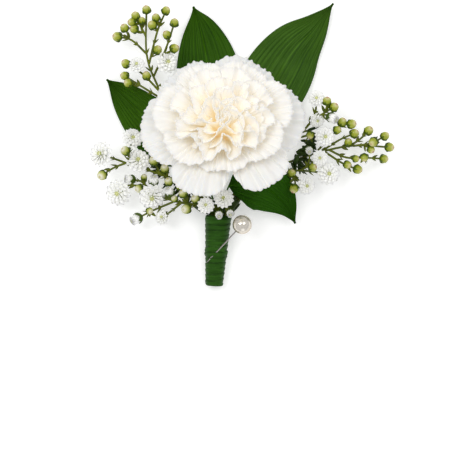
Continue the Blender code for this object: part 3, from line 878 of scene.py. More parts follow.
def grow_leaf(name, petiole, rib, half_width, fold, place):
    material = leaf_finish(name + "_skin", *LEAF_LOOKS[name])
    line = rounded(mm(rib), 8)
    widths = []
    for i in range(len(line)):
        t = i / (len(line) - 1)
        widths.append(max(half_width * (t / 0.375) ** 0.75 * ((1 - t) / 0.625) ** 1.25, 0.35) * MM)
    curve = line_object("midrib", [line], [widths])
    values = {
        "Midrib": curve, "Rows": 110, "Columns": 85, "Veins": 7.0,
        "Fold": math.tan(math.radians(fold)), "Wave height": 0.7, "Seed": float(place), "Finish": material,
    }
    blade = grow(LEAF_TREE, values, thickness=0.35 * MM)
    bpy.data.objects.remove(curve)
    lead = in_bundle(place, mm(petiole) + [line[0] + Vector((0, 0, 0.2)) * MM, line[4], line[9]])
    stalk = tubes([lead], [(0.45 * MM, 0.22 * MM)], material, 8)
    present(name + "_blade", join(name, [blade, stalk]), "leaf_green", name)


for name, spec in LEAVES.items():
    grow_leaf(name, **spec)

# %% [markdown]
# ## Filler blossoms
# Small double blossoms fill the edges. Each is a few whorls of rounded petals on a green cup, with a
# yellow-green eye. One petal of a few dozen faces is made once, set in whorls as instances, and the finished
# blossom is scattered over the twig tips as instances again. Making each by hand would take weeks. Half-open
# heads use steeper whorls of a petal that clasps. Buds are balls in a cup of sepals, and some are paler.


# %% The small petal tree
def small_petal_tree():
    bench = shape_bench("small petal")
    groove, cup = bench.ask_each("Groove", "Cup")
    material = bench.ask("Finish", "Material")
    sheet, flat_x, along = bench.flat_sheet(5, 7)
    across = flat_x * 2
    half = ((0.08 + along ** 2.3 * 0.80) * math.pi).sin() * 0.27
    reach = along * (1 - 0.10 * across * across) + 0.03 * abs(across)
    height = cup * across * across * half + groove * (abs(across * math.pi).sin() * 0.5)
    height = height + along * along * cup * 0.3
    wall = (1 - across * across) * along * (1 - along) * 0.16
    sheet = bench.keep(sheet, along=along, across=across)
    sides = []
    for sign in (1, -1):
        moved = bench.xyz(reach, across * half, height + wall * sign)
        side = bench.move(sheet, moved)
        sides.append(side if sign > 0 else bench.node("GeometryNodeFlipFaces", None, [side]))
    shape = bench.node("GeometryNodeJoinGeometry", None, {"Geometry": sides})
    return bench.hand_over(bench.merge(shape, 1e-4), material)


# %% The whorl tree
def whorl_tree():
    bench = shape_bench("whorl")
    piece = bench.ask("Piece", "Object")
    count = bench.ask("Count", "Int")
    radius, height, tilt = bench.ask_each("Radius", "Height", "Tilt")
    size, jitter, seed = bench.ask_each("Size", "Jitter", "Seed")
    material = bench.ask("Finish", "Material")
    index = bench.node("GeometryNodeInputIndex")
    shake = bench.noise(bench.xyz(index * 7.31, seed, 0.5))
    shake_more = bench.noise(bench.xyz(index * 5.17, seed + 9, 0.5))
    angle = (index + seed * 0.37 + shake * jitter) * math.tau / count
    place = bench.xyz(angle.cos() * radius, angle.sin() * radius, height)
    points = bench.node("GeometryNodePoints", None, {"Count": count, "Position": place})
    turn_by = bench.xyz(0.28 + shake_more * jitter * 0.4, -tilt + shake_more * jitter * 0.3, angle)
    shape = bench.node("GeometryNodeObjectInfo", None, {"Object": piece}, "Geometry")
    values = {"Points": points, "Instance": shape, "Rotation": turn_by}
    values["Scale"] = size * (1 + shake * jitter * 0.3)
    return bench.hand_over(bench.node("GeometryNodeInstanceOnPoints", None, values), material)


# %% The scatter tree
def scatter_tree():
    bench = shape_bench("scatter")
    piece = bench.ask("Piece", "Object")
    seed = bench.ask("Seed")
    material = bench.ask("Finish", "Material")
    facing = bench.node("GeometryNodeInputNamedAttribute", {"data_type": "FLOAT_VECTOR"}, {"Name": "facing"})
    size = bench.node("GeometryNodeInputNamedAttribute", {"data_type": "FLOAT"}, {"Name": "size"})
    spin = bench.noise(bench.xyz(bench.node("GeometryNodeInputIndex") * 3.7, seed, 0.5)) * 6
    values = {"Rotation": bench.xyz(0.0, 0.0, spin), "Vector": facing}
    turn_by = bench.node("FunctionNodeAlignRotationToVector", {"axis": "Z"}, values)
    source = bench.node("GeometryNodeObjectInfo", None, {"Object": piece}, "Geometry")
    values = {"Points": bench.shape, "Instance": source, "Rotation": turn_by, "Scale": size}
    return bench.hand_over(bench.node("GeometryNodeInstanceOnPoints", None, values), material)


SMALL_PETAL_TREE = small_petal_tree()
WHORL_TREE = whorl_tree()
SCATTER_TREE = scatter_tree()
print("trees:", [tree.name for tree in bpy.data.node_groups])


# %% Finishes of the blossoms and buds
def along_finish(name, stops, rough, bump, **steady):
    """Colours that change from the foot of a piece to its tip, with a fine grain."""
    material, bench, shader = finish(name, **steady)
    along = read(bench, "along")
    place = bench.here()
    grain = bench.noise(place, 1400.0, 2)
    shade = bench.noise(place, 150.0, 2)
    ramp = bench.node("ShaderNodeValToRGB", {"stops": stops}, [along + grain * 0.03 + shade * 0.10])
    plug(bench, ramp, shader, "Base Color")
    plug(bench, rough + grain * 0.08, shader, "Roughness")
    relief(bench, shader, grain, bump, 0.5)
    return material


def floret_finish():
    # painted glow: a weak white emission keeps the small petals bright
    material, bench, shader = finish(
        "floret_petal", Subsurface_Weight=0.15, Subsurface_Radius=(0.5, 0.5, 0.4), Subsurface_Scale=0.0005,
        Specular_IOR_Level=0.2, Emission_Color=(1, 1, 0.97, 1), Emission_Strength=0.12,
    )
    along = read(bench, "along")
    margin = abs(read(bench, "across"))
    grain = bench.noise(bench.here(), 1400.0, 2)
    stops = [
        (0, (0.58, 0.62, 0.28)), (0.2, (0.84, 0.85, 0.70)), (0.4, (0.95, 0.95, 0.92)),
        (1, (0.97, 0.97, 0.96)),
    ]
    body = bench.node("ShaderNodeValToRGB", {"stops": stops}, [along + grain * 0.03])
    # painted shade: the sides of each petal below its tip are greyed, for the shade between petals
    shaded = (margin * (1 - along.rise(0.7, 1.0))).rise(0.55, 1.0) * 0.24
    body = blend(bench, shaded, body, (0.40, 0.41, 0.38, 1))
    # painted shade: the petal tips are greyed a little, so they stand out against the pale floor
    body = blend(bench, along.rise(0.9, 1.0) * 0.3, body, (0.62, 0.62, 0.60, 1))
    plug(bench, body, shader, "Base Color")
    plug(bench, 0.55 + grain * 0.08, shader, "Roughness")
    relief(bench, shader, grain, 0.00006, 0.5)
    return material


FLORET_WHITE = floret_finish()
EYE_GREEN = along_finish(
    "floret_eye", [(0, (0.20, 0.26, 0.01)), (0.5, (0.38, 0.44, 0.02)), (1, (0.85, 0.85, 0.45))], 0.5, 0.0001,
)
CUP_GREEN = along_finish(
    "floret_cup", [(0, (0.03, 0.06, 0.001)), (0.5, (0.07, 0.125, 0.002)), (1, (0.14, 0.20, 0.01))],
    0.42, 0.00006, Specular_IOR_Level=0.25,
)
BUD_STOPS = [
    (0, (0.12, 0.18, 0.005)), (0.46, (0.26, 0.32, 0.012)), (0.70, (0.38, 0.42, 0.04)),
    (0.88, (0.66, 0.63, 0.28)), (1, (0.46, 0.22, 0.16)),
]
PALE_BUD_STOPS = [
    (0, (0.12, 0.18, 0.005)), (0.50, (0.28, 0.34, 0.02)), (0.68, (0.56, 0.58, 0.20)),
    (0.86, (0.86, 0.83, 0.70)), (1, (0.55, 0.50, 0.16)),
]
BUD_SKIN = along_finish("bud_skin", BUD_STOPS, 0.22, 0.00004, Specular_IOR_Level=0.5)
PALE_BUD_SKIN = along_finish("pale_bud_skin", PALE_BUD_STOPS, 0.36, 0.00004, Specular_IOR_Level=0.3)


# %% Make one blossom of each kind
def hold(name, mesh):
    """A mesh kept out of the picture, for a tree to copy."""
    made = new_object(name, mesh)
    made.hide_render = True
    return made


def small_petal(name, groove, cup):
    return hold(name, grow(SMALL_PETAL_TREE, {"Groove": groove, "Cup": cup, "Finish": FLORET_WHITE}))


SMALL_PETALS = {
    "open": small_petal("spread_petal", 0.05, 0.35),
    "half_open": small_petal("clasping_petal", 0.03, 2.0),
}
# kind: whorls of (count, radius, height, tilt in degrees, size)
WHORLS = {
    "open": [
        (13, 0.07, -0.08, -4, 0.47), (12, 0.07, 0.00, 14, 0.41), (9, 0.06, 0.06, 32, 0.33),
        (7, 0.05, 0.10, 48, 0.24),
    ],
    "half_open": [(11, 0.25, -0.26, 60, 0.66), (9, 0.17, -0.14, 66, 0.58), (7, 0.10, -0.02, 70, 0.46)],
}
# profiles of (radius, height), in shares of the blossom's width
CUPS = {
    "open": [(0, -0.30), (0.10, -0.27), (0.20, -0.14), (0.27, 0.02), (0.25, 0.04), (0.16, -0.06), (0, -0.10)],
    "half_open": [
        (0, -0.40), (0.18, -0.37), (0.33, -0.22), (0.41, 0.0), (0.40, 0.02), (0.30, -0.16), (0, -0.28),
    ],
}
EYE = [(0, 0), (0.08, 0.01), (0.10, 0.09), (0.085, 0.16), (0.05, 0.17), (0.03, 0.13), (0, 0.15)]
RAISED_EYE = Matrix.Translation((0, 0, 0.27)) @ Matrix.Scale(1.6, 4)
BUD = [
    (0, -0.46), (0.2, -0.42), (0.40, -0.24), (0.49, 0.02), (0.42, 0.28), (0.24, 0.46), (0.10, 0.53),
    (0, 0.55),
]
SEPALS = [
    (0, -0.53), (0.28, -0.46), (0.48, -0.26), (0.54, -0.10), (0.535, -0.03), (0.50, -0.03), (0.485, -0.12),
    (0.43, -0.24), (0, -0.44),
]
BRACT = [(0, 0), (0.12, 0.08), (0.20, 0.38), (0.13, 0.75), (0, 1.0)]
parts = {}
for kind, whorls in WHORLS.items():
    layers = []
    for k, (count, radius, height, tilt, size) in enumerate(whorls):
        values = {
            "Piece": SMALL_PETALS[kind], "Count": count, "Radius": radius, "Height": height,
            "Tilt": math.radians(tilt), "Size": size, "Jitter": 0.16, "Seed": float(k + 1),
            "Finish": FLORET_WHITE,
        }
        layers.append(grow(WHORL_TREE, values))
    eye = turn(EYE, EYE_GREEN, 10, 9, 3, 1.0, Ribs=5, Rib_depth=0.12)
    if kind == "half_open":
        eye.transform(RAISED_EYE)
    cup = turn(CUPS[kind], CUP_GREEN, 20, 12, 3, 1.0, Teeth=5, Tooth=0.10, Tooth_at=0.55, Tooth_width=0.3)
    parts[kind] = [
        (hold(kind + "_petals", join(kind, layers)), FLORET_WHITE), (hold(kind + "_eye", eye), EYE_GREEN),
        (hold(kind + "_cup", cup), CUP_GREEN),
    ]
sepals = turn(
    SEPALS, CUP_GREEN, 30, 12, 3, 1.0, Teeth=5, Tooth=0.20, Tooth_at=0.54, Tooth_width=0.30, Tuck=0.04,
)
for kind, skin in (("bud", BUD_SKIN), ("pale_bud", PALE_BUD_SKIN)):
    ball = turn(BUD, skin, 14, 11, 3, 1.0, Ribs=5, Rib_depth=0.035)
    parts[kind] = [(hold(kind + "_ball", ball), skin), (hold(kind + "_sepals", sepals.copy()), CUP_GREEN)]
bract = turn(BRACT, TWIG_GREEN, 6, 7, 3, 1.0)
bract.transform(Matrix.Diagonal((1, 0.4, 1, 1)))
parts["bract"] = [(hold("bract", bract), TWIG_GREEN)]
parts["leaflet"] = [(hold("leaflet", bract.copy()), LEAFLET_GREEN)]
print("faces of one blossom:", sum(len(o.data.polygons) for o, _ in parts["open"]))

# %% [markdown]
# ## Sprigs
# A sprig is a thin stem that forks into arms and side twigs, and each twig ends in a blossom or a bud. The
# table holds the stem, the arms and where each blossom is. A side twig leaves its stem where it can point
# along the growth, as real ones do. All twigs of a sprig are one set of lines, swept by the tube tree. Dark
# leaflets ring the neck of the wrap. More dark leaflets are scattered under the bloom's edge as painted shade:
# they fill its shadow and aren't joined to a twig.

# %% The sprigs
BUD_LIMIT = 4.3
OPEN_LIMIT = 5.35
HALF_OPEN = [(-9.3, -29.0), (-4.7, -28.4), (27.6, -2.6)]
PALE_SPRIGS = ("sprig_left", "sprig_left_low", "sprig_front")
SPRIGS = {
    "sprig_top_left": {
        "place": 210,
        "stem": [
            (-14, -20, 5.2), (-19, -8, 6), (-27, 10, 7),
            (-35, 25, 8.5), (-39, 37, 9.5), (-39, 55, 11),
        ],
        "arms": [
            [(-39, 37, 9.5), (-45, 42.5, 10), (-51, 44, 10)],
            [(-39.2, 44, 10), (-43.5, 52.5, 11)],
            [(-38, 33, 9.2), (-34.5, 46, 12), (-31, 54.5, 12)],
            [(-36, 28, 8.8), (-31, 39, 12), (-27.5, 49.5, 12)],
            [(-33, 21, 8), (-41, 29, 10), (-47.5, 33, 10)],
            [(-31, 17.5, 7.7), (-40, 23, 9), (-48, 28, 9)],
        ],
        "blossoms": [
            (-39, 55, 3.4), (-40.8, 50.5, 2.8), (-36.5, 48.5, 3.6), (-51, 44, 3.8), (-48, 47.5, 3.4),
            (-44, 47, 3.4), (-43.5, 52.5, 3.4), (-45, 49.8, 3.2), (-31, 54.5, 3.4), (-35, 51.5, 3.2),
            (-27.5, 49.5, 3.4), (-30.5, 44.5, 3.4), (-34.5, 38.5, 3.6), (-27.5, 39, 3.6), (-30.5, 33.5, 8),
            (-43, 32.5, 6), (-47.5, 33, 3.6), (-48, 28, 3.4), (-39, 28, 3.4), (-46.5, 25, 3.4),
        ],
    },
    "sprig_left": {
        "place": 180,
        "stem": [(-15, -23, 7.4), (-24, -16.5, 9.4), (-35, -12, 11), (-47.3, -7.9, 12), (-57.6, -4.2, 13)],
        "arms": [
            [(-47.3, -7.9, 12), (-52.5, -10, 12), (-57.2, -13, 12)],
            [(-45.0, -8.8, 12), (-46.2, -5.2, 13.5), (-44.6, 2.3, 13)],
        ],
        "blossoms": [
            (-57.6, -4.2, 9), (-57.2, -13, 3.8), (-44.6, 2.3, 7.4), (-42.3, -6.9, 8.6), (-47.5, -3.0, 3.6),
            (-35.9, -7.0, 3.8), (-31.5, -10.2, 3.4),
        ],
    },
    "sprig_left_low": {
        "place": 150,
        "stem": [
            (-14.5, -25.5, 10.6), (-24.5, -24.2, 11), (-33, -21.6, 10),
            (-41.5, -17.6, 9.2), (-47, -17.2, 9.2), (-50.8, -20.2, 9),
        ],
        "arms": [
            [(-28, -23.9, 10.7), (-36, -27.2, 9), (-42.8, -30.6, 8)],
            [(-24.5, -24.2, 11), (-29, -27.8, 10), (-32.5, -30, 9)],
            [(-37, -19.8, 9.7), (-41, -15.6, 8.4), (-45.5, -14.6, 7)],
        ],
        "blossoms": [
            (-50.8, -20.2, 9.2), (-36.7, -21.9, 9.6), (-36.1, -15.6, 4.8), (-45.5, -14.6, 4.8),
            (-32.5, -30, 5.8), (-42.8, -30.6, 5.3), (-29.2, -20.1, 4.4), (-29.8, -15.6, 3.4),
            (-42.1, -18.4, 3.2), (-24, -20.5, 3.4), (-18.9, -22.6, 3.4), (-22.7, -26.8, 3.8),
            (-37.7, -27.6, 2.8), (-25.4, -17.6, 2.8), (-40.0, -13.6, 2.4), (-27.5, -22.6, 2.6),
        ],
    },
    "sprig_front": {
        "place": 90,
        "stem": [(-9.8, -26.6, 10.4), (-11.6, -25.4, 13.2), (-14.6, -25.3, 14.6)],
        "arms": [
            [(-9.8, -26.6, 10.4), (-9.3, -29.0, 13.6)],
            [(-9.8, -26.6, 10.4), (-6.6, -25.4, 13.0), (-4.7, -28.4, 14.0)],
            [(-7.6, -26.0, 12.4), (-7.3, -22.6, 14.6)],
        ],
        "blossoms": [(-14.6, -25.3, 6.2), (-7.3, -22.6, 7.2), (-9.3, -29.0, 4), (-4.7, -28.4, 4)],
    },
    "sprig_right_low": {
        "place": 30,
        "stem": [(-4.4, -25.4, 8.0), (2, -19.5, 8.0), (12, -14, 8.4), (22, -11, 10), (35.7, -12.2, 12)],
        "arms": [
            [(19, -11.9, 9.5), (22.5, -14.6, 12.4), (26.6, -17.2, 13)],
            [(24, -11.1, 10.4), (28, -8.6, 13), (32, -6, 15)],
        ],
        "blossoms": [
            (35.7, -12.2, 8.2), (26.6, -17.2, 6.6), (32, -6, 6), (21.6, -18.4, 3.6), (20.6, -12.2, 3.2),
            (29.1, -9.9, 3.4), (27.6, -2.6, 4),
        ],
    },
    "sprig_right_long": {
        "place": 0,
        "stem": [
            (-4, -23, 6.4), (4, -15, 6.3), (18, -8, 6.8),
            (36, -2.4, 8.6), (48, -0.6, 9.4), (60.8, -1.4, 10),
        ],
        "arms": [
            [(46, -0.8, 9.4), (53, 0.2, 11), (58.8, 3.1, 12)],
            [(44, -1.2, 9.3), (49, 2.2, 11), (52.2, 5.4, 12)],
            [(36, -2.4, 8.6), (43, -5.5, 8.5), (50.5, -5.6, 8.5), (58.6, -6.1, 8.5)],
            [(34, -3.0, 8.4), (42, -8.1, 8), (47.9, -10.4, 8)],
            [(32, -3.7, 8.2), (40, 1.5, 10.5), (46.3, 4.2, 11.5)],
            [(30, -4.3, 8.0), (36.5, 3, 11), (41.3, 8.8, 12)],
        ],
        "blossoms": [
            (60.8, -1.4, 3.6), (58.8, 3.1, 3.4), (58.6, -6.1, 3.4), (52.2, 5.4, 3.6), (50.5, -5.6, 3.2),
            (47, -6.1, 2.8), (47.9, -10.4, 3.6), (43.6, -8.6, 3.2), (43.9, 0.6, 3.2), (46.3, 4.2, 3.6),
            (41.3, 8.8, 3.6), (39.2, 5.6, 3.2), (54, 0.6, 3.7), (45.1, 8.0, 3.7), (53.2, -2.4, 3),
        ],
    },
    "sprig_right_high": {
        "place": 330,
        "stem": [
            (-4.6, -22.5, 4.6), (5, -11.5, 4.3), (18, -1.5, 6.2),
            (26, 6, 10), (30, 12, 13), (30.6, 18.4, 15),
        ],
        "arms": [
            [(27, 7.4, 10.6), (33, 12, 14), (37.8, 14.8, 15)],
            [(22, 2.2, 8.1), (29, 3.6, 14), (34.0, 2.6, 16.5)],
        ],
        "blossoms": [
            (30.6, 18.4, 6), (31, 9.4, 5.4), (34.0, 2.6, 7.2), (36.6, 10.6, 5), (34.9, 17.2, 3.4),
            (37.8, 14.8, 3.6), (28.1, 3.4, 3),
        ],
    },
}


# %% Where side twigs leave, and which way blossoms face
def fork(lines, target):
    """Where a side twig leaves: the nearest spot from which it points along the growth."""
    best = None
    for line in lines:
        for a, b in zip(line, line[1:]):
            reach = Vector((target.x - a.x, target.y - a.y, 0))
            along = Vector((b.x - a.x, b.y - a.y, 0))
            if reach.length < 0.3 * MM:
                return a
            ahead = reach.dot(along) / reach.length / max(along.length, 1e-9)
            cost = reach.length * (1 if ahead > 0.5 else 4)
            if best is None or cost < best[0]:
                best = (cost, a)
    return best[1]


def spots_object(spots):
    """Points with a facing and a size, for the scatter tree."""
    mesh = bpy.data.meshes.new("spots")
    mesh.from_pydata([place for place, _, _ in spots], [], [])
    facing = mesh.attributes.new("facing", "FLOAT_VECTOR", "POINT")
    facing.data.foreach_set("vector", [x for _, way, _ in spots for x in way])
    size = mesh.attributes.new("size", "FLOAT", "POINT")
    size.data.foreach_set("value", [s for _, _, s in spots])
    return mesh


def scatter(kind, spots, seed):
    """The meshes of one kind of blossom on its spots."""
    meshes = []
    for piece, material in parts[kind] if spots else []:
        values = {"Piece": piece, "Seed": float(seed), "Finish": material}
        meshes.append(grow(SCATTER_TREE, values, spots_object(spots)))
    return meshes


# %% Grow the sprigs
def grow_sprig(name, place, stem, arms, blossoms):
    pick = random.Random(name)
    lead = in_bundle(place, mm(stem))
    lines = [lead[7:]] + [rounded(mm(arm), 5) for arm in arms]
    tubes_lines = [lead] + lines[1:]
    radii = [(0.60 * MM, 0.42 * MM)] + [(0.50 * MM, 0.38 * MM)] * (len(lines) - 1)
    tips = [line[-1] for line in lines]
    spots = {"open": [], "half_open": [], "bud": [], "pale_bud": [], "bract": []}
    for x, y, width in blossoms:
        target = Vector((x, y, 0)) * MM
        at_tip = [i for i, tip in enumerate(tips) if (Vector((tip.x, tip.y, 0)) - target).length < 0.3 * MM]
        if at_tip:
            line = lines[at_tip[0]]
            centre, growth = line[-1], (line[-1] - line[-3]).normalized()
        else:
            start = fork(lines, target)
            centre = Vector((target.x, target.y, start.z + 1.2 * MM))
            bow = Vector((pick.uniform(-0.4, 0.4), pick.uniform(-0.4, 0.4), 0.4)) * MM
            twig = rounded([start, start.lerp(centre, 0.5) + bow, centre], 4)
            growth = (twig[-1] - twig[-3]).normalized()
            tubes_lines.append(twig)
            radii.append((0.42 * MM, 0.34 * MM))
            for side in (-0.5, 0.5):
                lean = growth + growth.cross(UP) * side + UP * pick.uniform(0.1, 0.4)
                spots["bract"].append((start, lean.normalized(), pick.uniform(2.4, 3.8) * MM))
        shake = Vector((pick.uniform(-0.3, 0.3), pick.uniform(-0.3, 0.3), 0))
        if width < BUD_LIMIT and (x, y) not in HALF_OPEN:
            kind = "pale_bud" if name in PALE_SPRIGS else "bud"
            way = growth * 0.7 + UP * 0.75 if kind == "pale_bud" else growth + UP * 0.6
            spots[kind].append((centre, (way + shake).normalized(), width * 1.08 * MM))
        else:
            kind = "open" if width >= OPEN_LIMIT else "half_open"
            way = growth * 0.3 + UP + shake if kind == "open" else growth + UP * 0.5
            if (x, y) in HALF_OPEN:
                way = Vector((0.1, -0.4, 0.9))
            if x < -50:
                way += Vector((-0.35, -0.1, 0))
            spots[kind].append((centre, way.normalized(), width * MM * 1.1))
    for line in lines:
        for a, b in list(zip(line, line[1:]))[3:-2:3]:
            growth = (b - a).normalized()
            for side in (-0.6, 0.6):
                lean = growth + growth.cross(UP) * side + UP * pick.uniform(-0.1, 0.4)
                spots["bract"].append((a, lean.normalized(), pick.uniform(1.8, 3.6) * MM))
    twigs = tubes(tubes_lines, radii, TWIG_GREEN, 7, 0.12 * MM)
    present(name + "_twigs", join(name, [twigs, *scatter("bract", spots["bract"], 1)]), "sprig_green", name)
    flowers = scatter("open", spots["open"], 2) + scatter("half_open", spots["half_open"], 3)
    if flowers:
        present(name + "_blossoms", join(name, flowers), "petal_white", name)
    buds = scatter("bud", spots["bud"], 5) + scatter("pale_bud", spots["pale_bud"], 6)
    if buds:
        present(name + "_buds", join(name, buds), "sprig_green", name)


for name, spec in SPRIGS.items():
    grow_sprig(name, **spec)

# %% Leaflets round the neck of the wrap, and dark leaflets under the bloom's edge as painted shade
pick = random.Random("leaflets")
leaflets = {"sprig_front": [], "sprig_left_low": [], "sprig_right_low": []}
NECK_COUNT = 34
PAINTED_SHADE_COUNT = 46
for k in range(NECK_COUNT):
    turn_by = math.tau * (k + pick.uniform(-0.4, 0.4)) / NECK_COUNT
    out = Vector((math.cos(turn_by), 0.0, abs(math.sin(turn_by)) * 0.5))
    start = WRAP_TOP + 3.0 * MM * Vector((math.cos(turn_by), 0.3, math.sin(turn_by)))
    way = out * pick.uniform(0.6, 1.6) + Vector((0, pick.uniform(0.5, 1.3), pick.uniform(-0.1, 0.25)))
    leaflets["sprig_front"].append((start, way.normalized(), pick.uniform(6, 11) * MM))
# sprig: the two ends of a line to scatter along, and the way the leaflets point; these dark leaflets are painted
# shade
PAINTED_SHADE_LEAFLETS = {
    "sprig_left_low": [(-35.5, -6, 7.5), (-20, -20.5, 7.5), (-0.6, -0.5, 0.1)],
    "sprig_right_low": [(27, 6, 8.5), (21, -12.5, 8.0), (0.8, -0.3, 0.1)],
}
for name, (first, last, out) in PAINTED_SHADE_LEAFLETS.items():
    for k in range(PAINTED_SHADE_COUNT):
        start = Vector(first).lerp(Vector(last), pick.random())
        start += Vector((pick.uniform(-2, 2), pick.uniform(-2, 2), pick.uniform(-1.5, 1)))
        way = Vector((pick.uniform(-0.8, 0.8), pick.uniform(-0.8, 0.8), pick.uniform(-0.2, 0.3)))
        way += Vector(out)
        leaflets[name].append((start * MM, way.normalized(), pick.uniform(3.6, 6.5) * MM))
for name, spots in leaflets.items():
    present(name + "_leaflets", scatter("leaflet", spots, 8)[0], "sprig_green", name)
for piece in [piece for pieces in parts.values() for piece, _ in pieces] + list(SMALL_PETALS.values()):
    bpy.data.objects.remove(piece)
print("sprigs:", len(SPRIGS), "blossoms and buds:", sum(len(spec["blossoms"]) for spec in SPRIGS.values()))

# %% [markdown]
# ## The wrap
# Florist's tape binds the stems: a ribbon wound in a helix, each turn half over the last. Its overlap steps
# out and falls back once a turn, which is a sawtooth along the axis that shifts round with the angle. A
# little noise lets the edges wander, as when tape is pulled by hand. One last turn crosses over the pin.

# %% The wrap tree
PEARL_CENTRE = Vector((0.3, -33.2, 13.6)) * MM
PIN_TIP = Vector((-14.5, -49.0, 7.55)) * MM


def wrap_tree():
    bench = shape_bench("wrap")
    profile = bench.ask("Profile", "Object")
    around, rings = bench.ask_each("Around", "Along", kind="Int")
    pitch, step, wander = bench.ask_each("Pitch", "Step", "Wander")
    crossing, facing = bench.ask_each("Crossing at", "Crossing side")
    material = bench.ask("Finish", "Material")
    sheet, flat_x, along = bench.flat_sheet(around, rings)
    share = flat_x + 0.5
    angle = share * math.tau
    radius, _, height, _, _, _ = bench.curve_at(profile, along)
    ring = bench.xyz(angle.cos() * 0.8, angle.sin() * 0.8, height * 160)
    drift = bench.noise(ring, 1.0, 2) * wander
    turns = height / pitch - share + drift
    inside = turns.fract()
    ledge = inside * (1 - inside.rise(0.90, 1.0))
    outside = radius.rise(3.3 * MM, 3.5 * MM)
    slant = (height - crossing) / MM + (angle - facing).cos() * -2.6
    band = 1 - abs(slant).rise(0.9, 1.15)
    lift = step * (ledge + band * 1.1) * outside
    wide = radius + lift + bench.noise(ring, 2.2, 2) * 0.05 * MM
    moved = bench.xyz(wide * angle.cos(), wide * angle.sin(), height)
    sheet = bench.keep(sheet, inside=inside, band=band)
    return bench.hand_over(bench.merge(bench.move(sheet, moved), SEAM), material)


# %% The finish of the tape
def tape_finish():
    material, bench, shader = finish("florist_tape", Specular_IOR_Level=0.08)
    inside = read(bench, "inside")
    band = read(bench, "band")
    crepe = bench.noise(bench.stretched((260, 3200, 260)), 1.0, 2)
    streak = bench.noise(bench.stretched((70, 760, 70)), 1.0, 2)
    # painted shade: each turn darkens on both sides of the step where it meets the next, for the shade of the
    # overlap
    edge = inside.rise(0.74, 0.98) + (1 - inside.rise(0.0, 0.12)) * 0.7
    tone = (0.62 + streak * 0.6 + crepe * 0.25 - edge * 0.3 + band * 0.15).clamp()
    plug(bench, blend(bench, tone, (0.003, 0.014, 0.001, 1), (0.036, 0.125, 0.011, 1)), shader, "Base Color")
    plug(bench, 0.40 + crepe * 0.08, shader, "Roughness")
    relief(bench, shader, streak * 0.6 + crepe * 0.4, 0.00014, 0.9)
    return material


# %% Wind the tape
WRAP_WAY = (WRAP_TOP - WRAP_FOOT).normalized()
wrap_length = (WRAP_TOP - WRAP_FOOT).length / MM
sleeve = [(3.0, 0.3), (3.15, 0.05), (3.35, 0.1), (3.5, 0.55), (3.55, 1.2)]
sleeve += [(3.5 + 1.8 * t, wrap_length * t) for t in (0.2, 0.4, 0.6, 0.8)]
sleeve += [(5.3, wrap_length - 1.2), (5.2, wrap_length - 0.4), (4.7, wrap_length), (4.0, wrap_length - 0.1)]
sleeve += [(3.8, wrap_length - 0.8), (3.4, wrap_length / 2), (3.0, 0.3)]
sleeve_line = [Vector((p.x * MM, 0, p.z * MM)) for p in rounded([(r, 0, h) for r, h in sleeve], 8)]
sleeve_curve = line_object("sleeve", [sleeve_line])
values = {
    "Profile": sleeve_curve, "Around": 129, "Along": 420, "Finish": tape_finish(),
    "Pitch": 2.3 * MM, "Step": 0.30 * MM, "Wander": 0.45,
    "Crossing at": 13.5 * MM, "Crossing side": math.radians(90),
}
wrap_mesh = grow(wrap_tree(), values)
bpy.data.objects.remove(sleeve_curve)
outward(wrap_mesh)
stand(wrap_mesh, WRAP_FOOT, WRAP_WAY)
present("tape_wrap", wrap_mesh, "wrap_green", "stem_wrap")
print("wrap length in mm:", round(wrap_length, 1), "faces:", len(wrap_mesh.polygons))

# %% [markdown]
# ## Pearl pin
# A bead on a steel pin holds the boutonniere to the lapel. The pearl is turned with a dimple where the pin
# enters, and its shine is a clear coat over a soft, slightly metallic body. The pin is drawn steel: fine
# lines run along it, and its end is ground to a point.


# %% Finishes of the pearl and the pin
def pearl_finish():
    material, bench, shader = finish(
        "pearl", Coat_Roughness=0.05, Coat_IOR=1.5, Specular_IOR_Level=0.3, Metallic=0.5,
    )
    place = bench.here()
    cloud = bench.noise(place, 240.0, 3)
    fine = bench.noise(place, 2400.0, 2)
    height = (bench.node("ShaderNodeSeparateXYZ", None, [place])["Z"] - PEARL_CENTRE.z) / (3.9 * MM)
    # painted light: the body is lighter towards the top of the bead and darker gold towards its sides and foot; soft
    # clouds of nacre lie over it
    glow = (height + cloud * 0.05).rise(0.15, 0.85)
    nacre_and_painted_light = blend(bench, glow, (0.52, 0.41, 0.25, 1), (0.80, 0.75, 0.67, 1))
    nacre_and_painted_light = blend(bench, (0.5 + cloud).clamp() * 0.3, nacre_and_painted_light, (0.80, 0.76, 0.70, 1))
    plug(bench, nacre_and_painted_light, shader, "Base Color")
    plug(bench, 0.16 + cloud * 0.04, shader, "Roughness")
    plug(bench, 0.8 + cloud * 0.1, shader, "Coat Weight")
    relief(bench, shader, fine, 0.00001, 0.4)
    return material


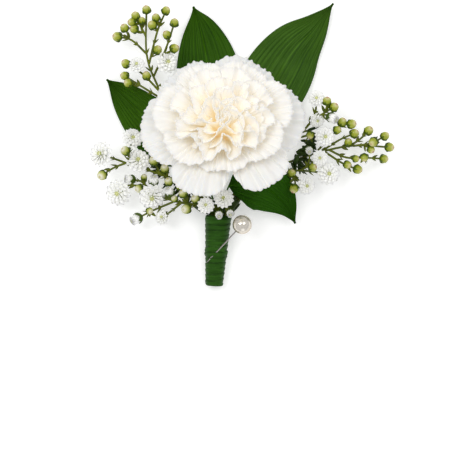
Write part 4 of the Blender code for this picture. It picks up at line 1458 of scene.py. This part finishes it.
def steel_finish():
    material, bench, shader = finish("pin_steel", Base_Color=(0.42, 0.39, 0.37, 1), Metallic=1.0)
    lines = bench.noise(bench.stretched((900, 900, 9000)), 1.0, 2)
    plug(bench, 0.22 + lines * 0.06, shader, "Roughness")
    relief(bench, shader, lines, 0.00001, 0.4)
    return material


# %% Turn the pearl and the pin
pin_way = (PIN_TIP - PEARL_CENTRE).normalized()
pin_length = (PIN_TIP - PEARL_CENTRE).length / MM
PEARL_RADIUS = 3.95
PIN_RADIUS = 0.29
bead = [(0, -PEARL_RADIUS)]
for k in range(1, 15):
    round_by = math.pi * k / 16
    bead.append((PEARL_RADIUS * math.sin(round_by), -PEARL_RADIUS * math.cos(round_by)))
bead += [(0.62, 3.88), (0.42, 3.65), (0.4, 2.6), (0, 2.5)]
present("pearl_bead", stand(turn(bead, pearl_finish(), 96, 90), PEARL_CENTRE, pin_way), "pearl", "pin_pearl")
needle = [(0, 2.7), (0.28, 2.75), (PIN_RADIUS, 3.2), (PIN_RADIUS, 8), (PIN_RADIUS, pin_length - 3.5)]
needle += [(0.22, pin_length - 2), (0.1, pin_length - 0.4), (0, pin_length)]
pin_mesh = stand(turn(needle, steel_finish(), 20, 60), PEARL_CENTRE, pin_way)
present("steel_pin", pin_mesh, "pin_steel", "pin_shaft")
print("pin length in mm:", round(pin_length, 1))

# %% [markdown]
# ## Floor
# The table is plain and pale. It isn't part of the boutonniere, so it is marked as staging.

# %% Floor
floor_mesh = bpy.data.meshes.new("floor")
floor_mesh.from_pydata([(-3, -3, 0), (3, -3, 0), (3, 3, 0), (-3, 3, 0)], [], [(0, 1, 2, 3)])
pale, bench, shader = finish(
    "pale_table", Base_Color=(0.82, 0.82, 0.82, 1), Emission_Color=(1, 1, 1, 1), Emission_Strength=0.42,
)
plug(bench, 0.62 + bench.noise(bench.here(), 30.0) * 0.04, shader, "Roughness")
floor_mesh.materials.append(pale)
floor = new_object("floor", floor_mesh)
floor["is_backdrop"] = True
print("floor ready")

# %% Sizes and finish
sizes = {"cad_box": [list(corner) for corner in cad_box], "visual_box": [list(corner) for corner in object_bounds()]}
print("visual box in mm:", [[round(x / MM, 1) for x in corner] for corner in sizes["visual_box"]])
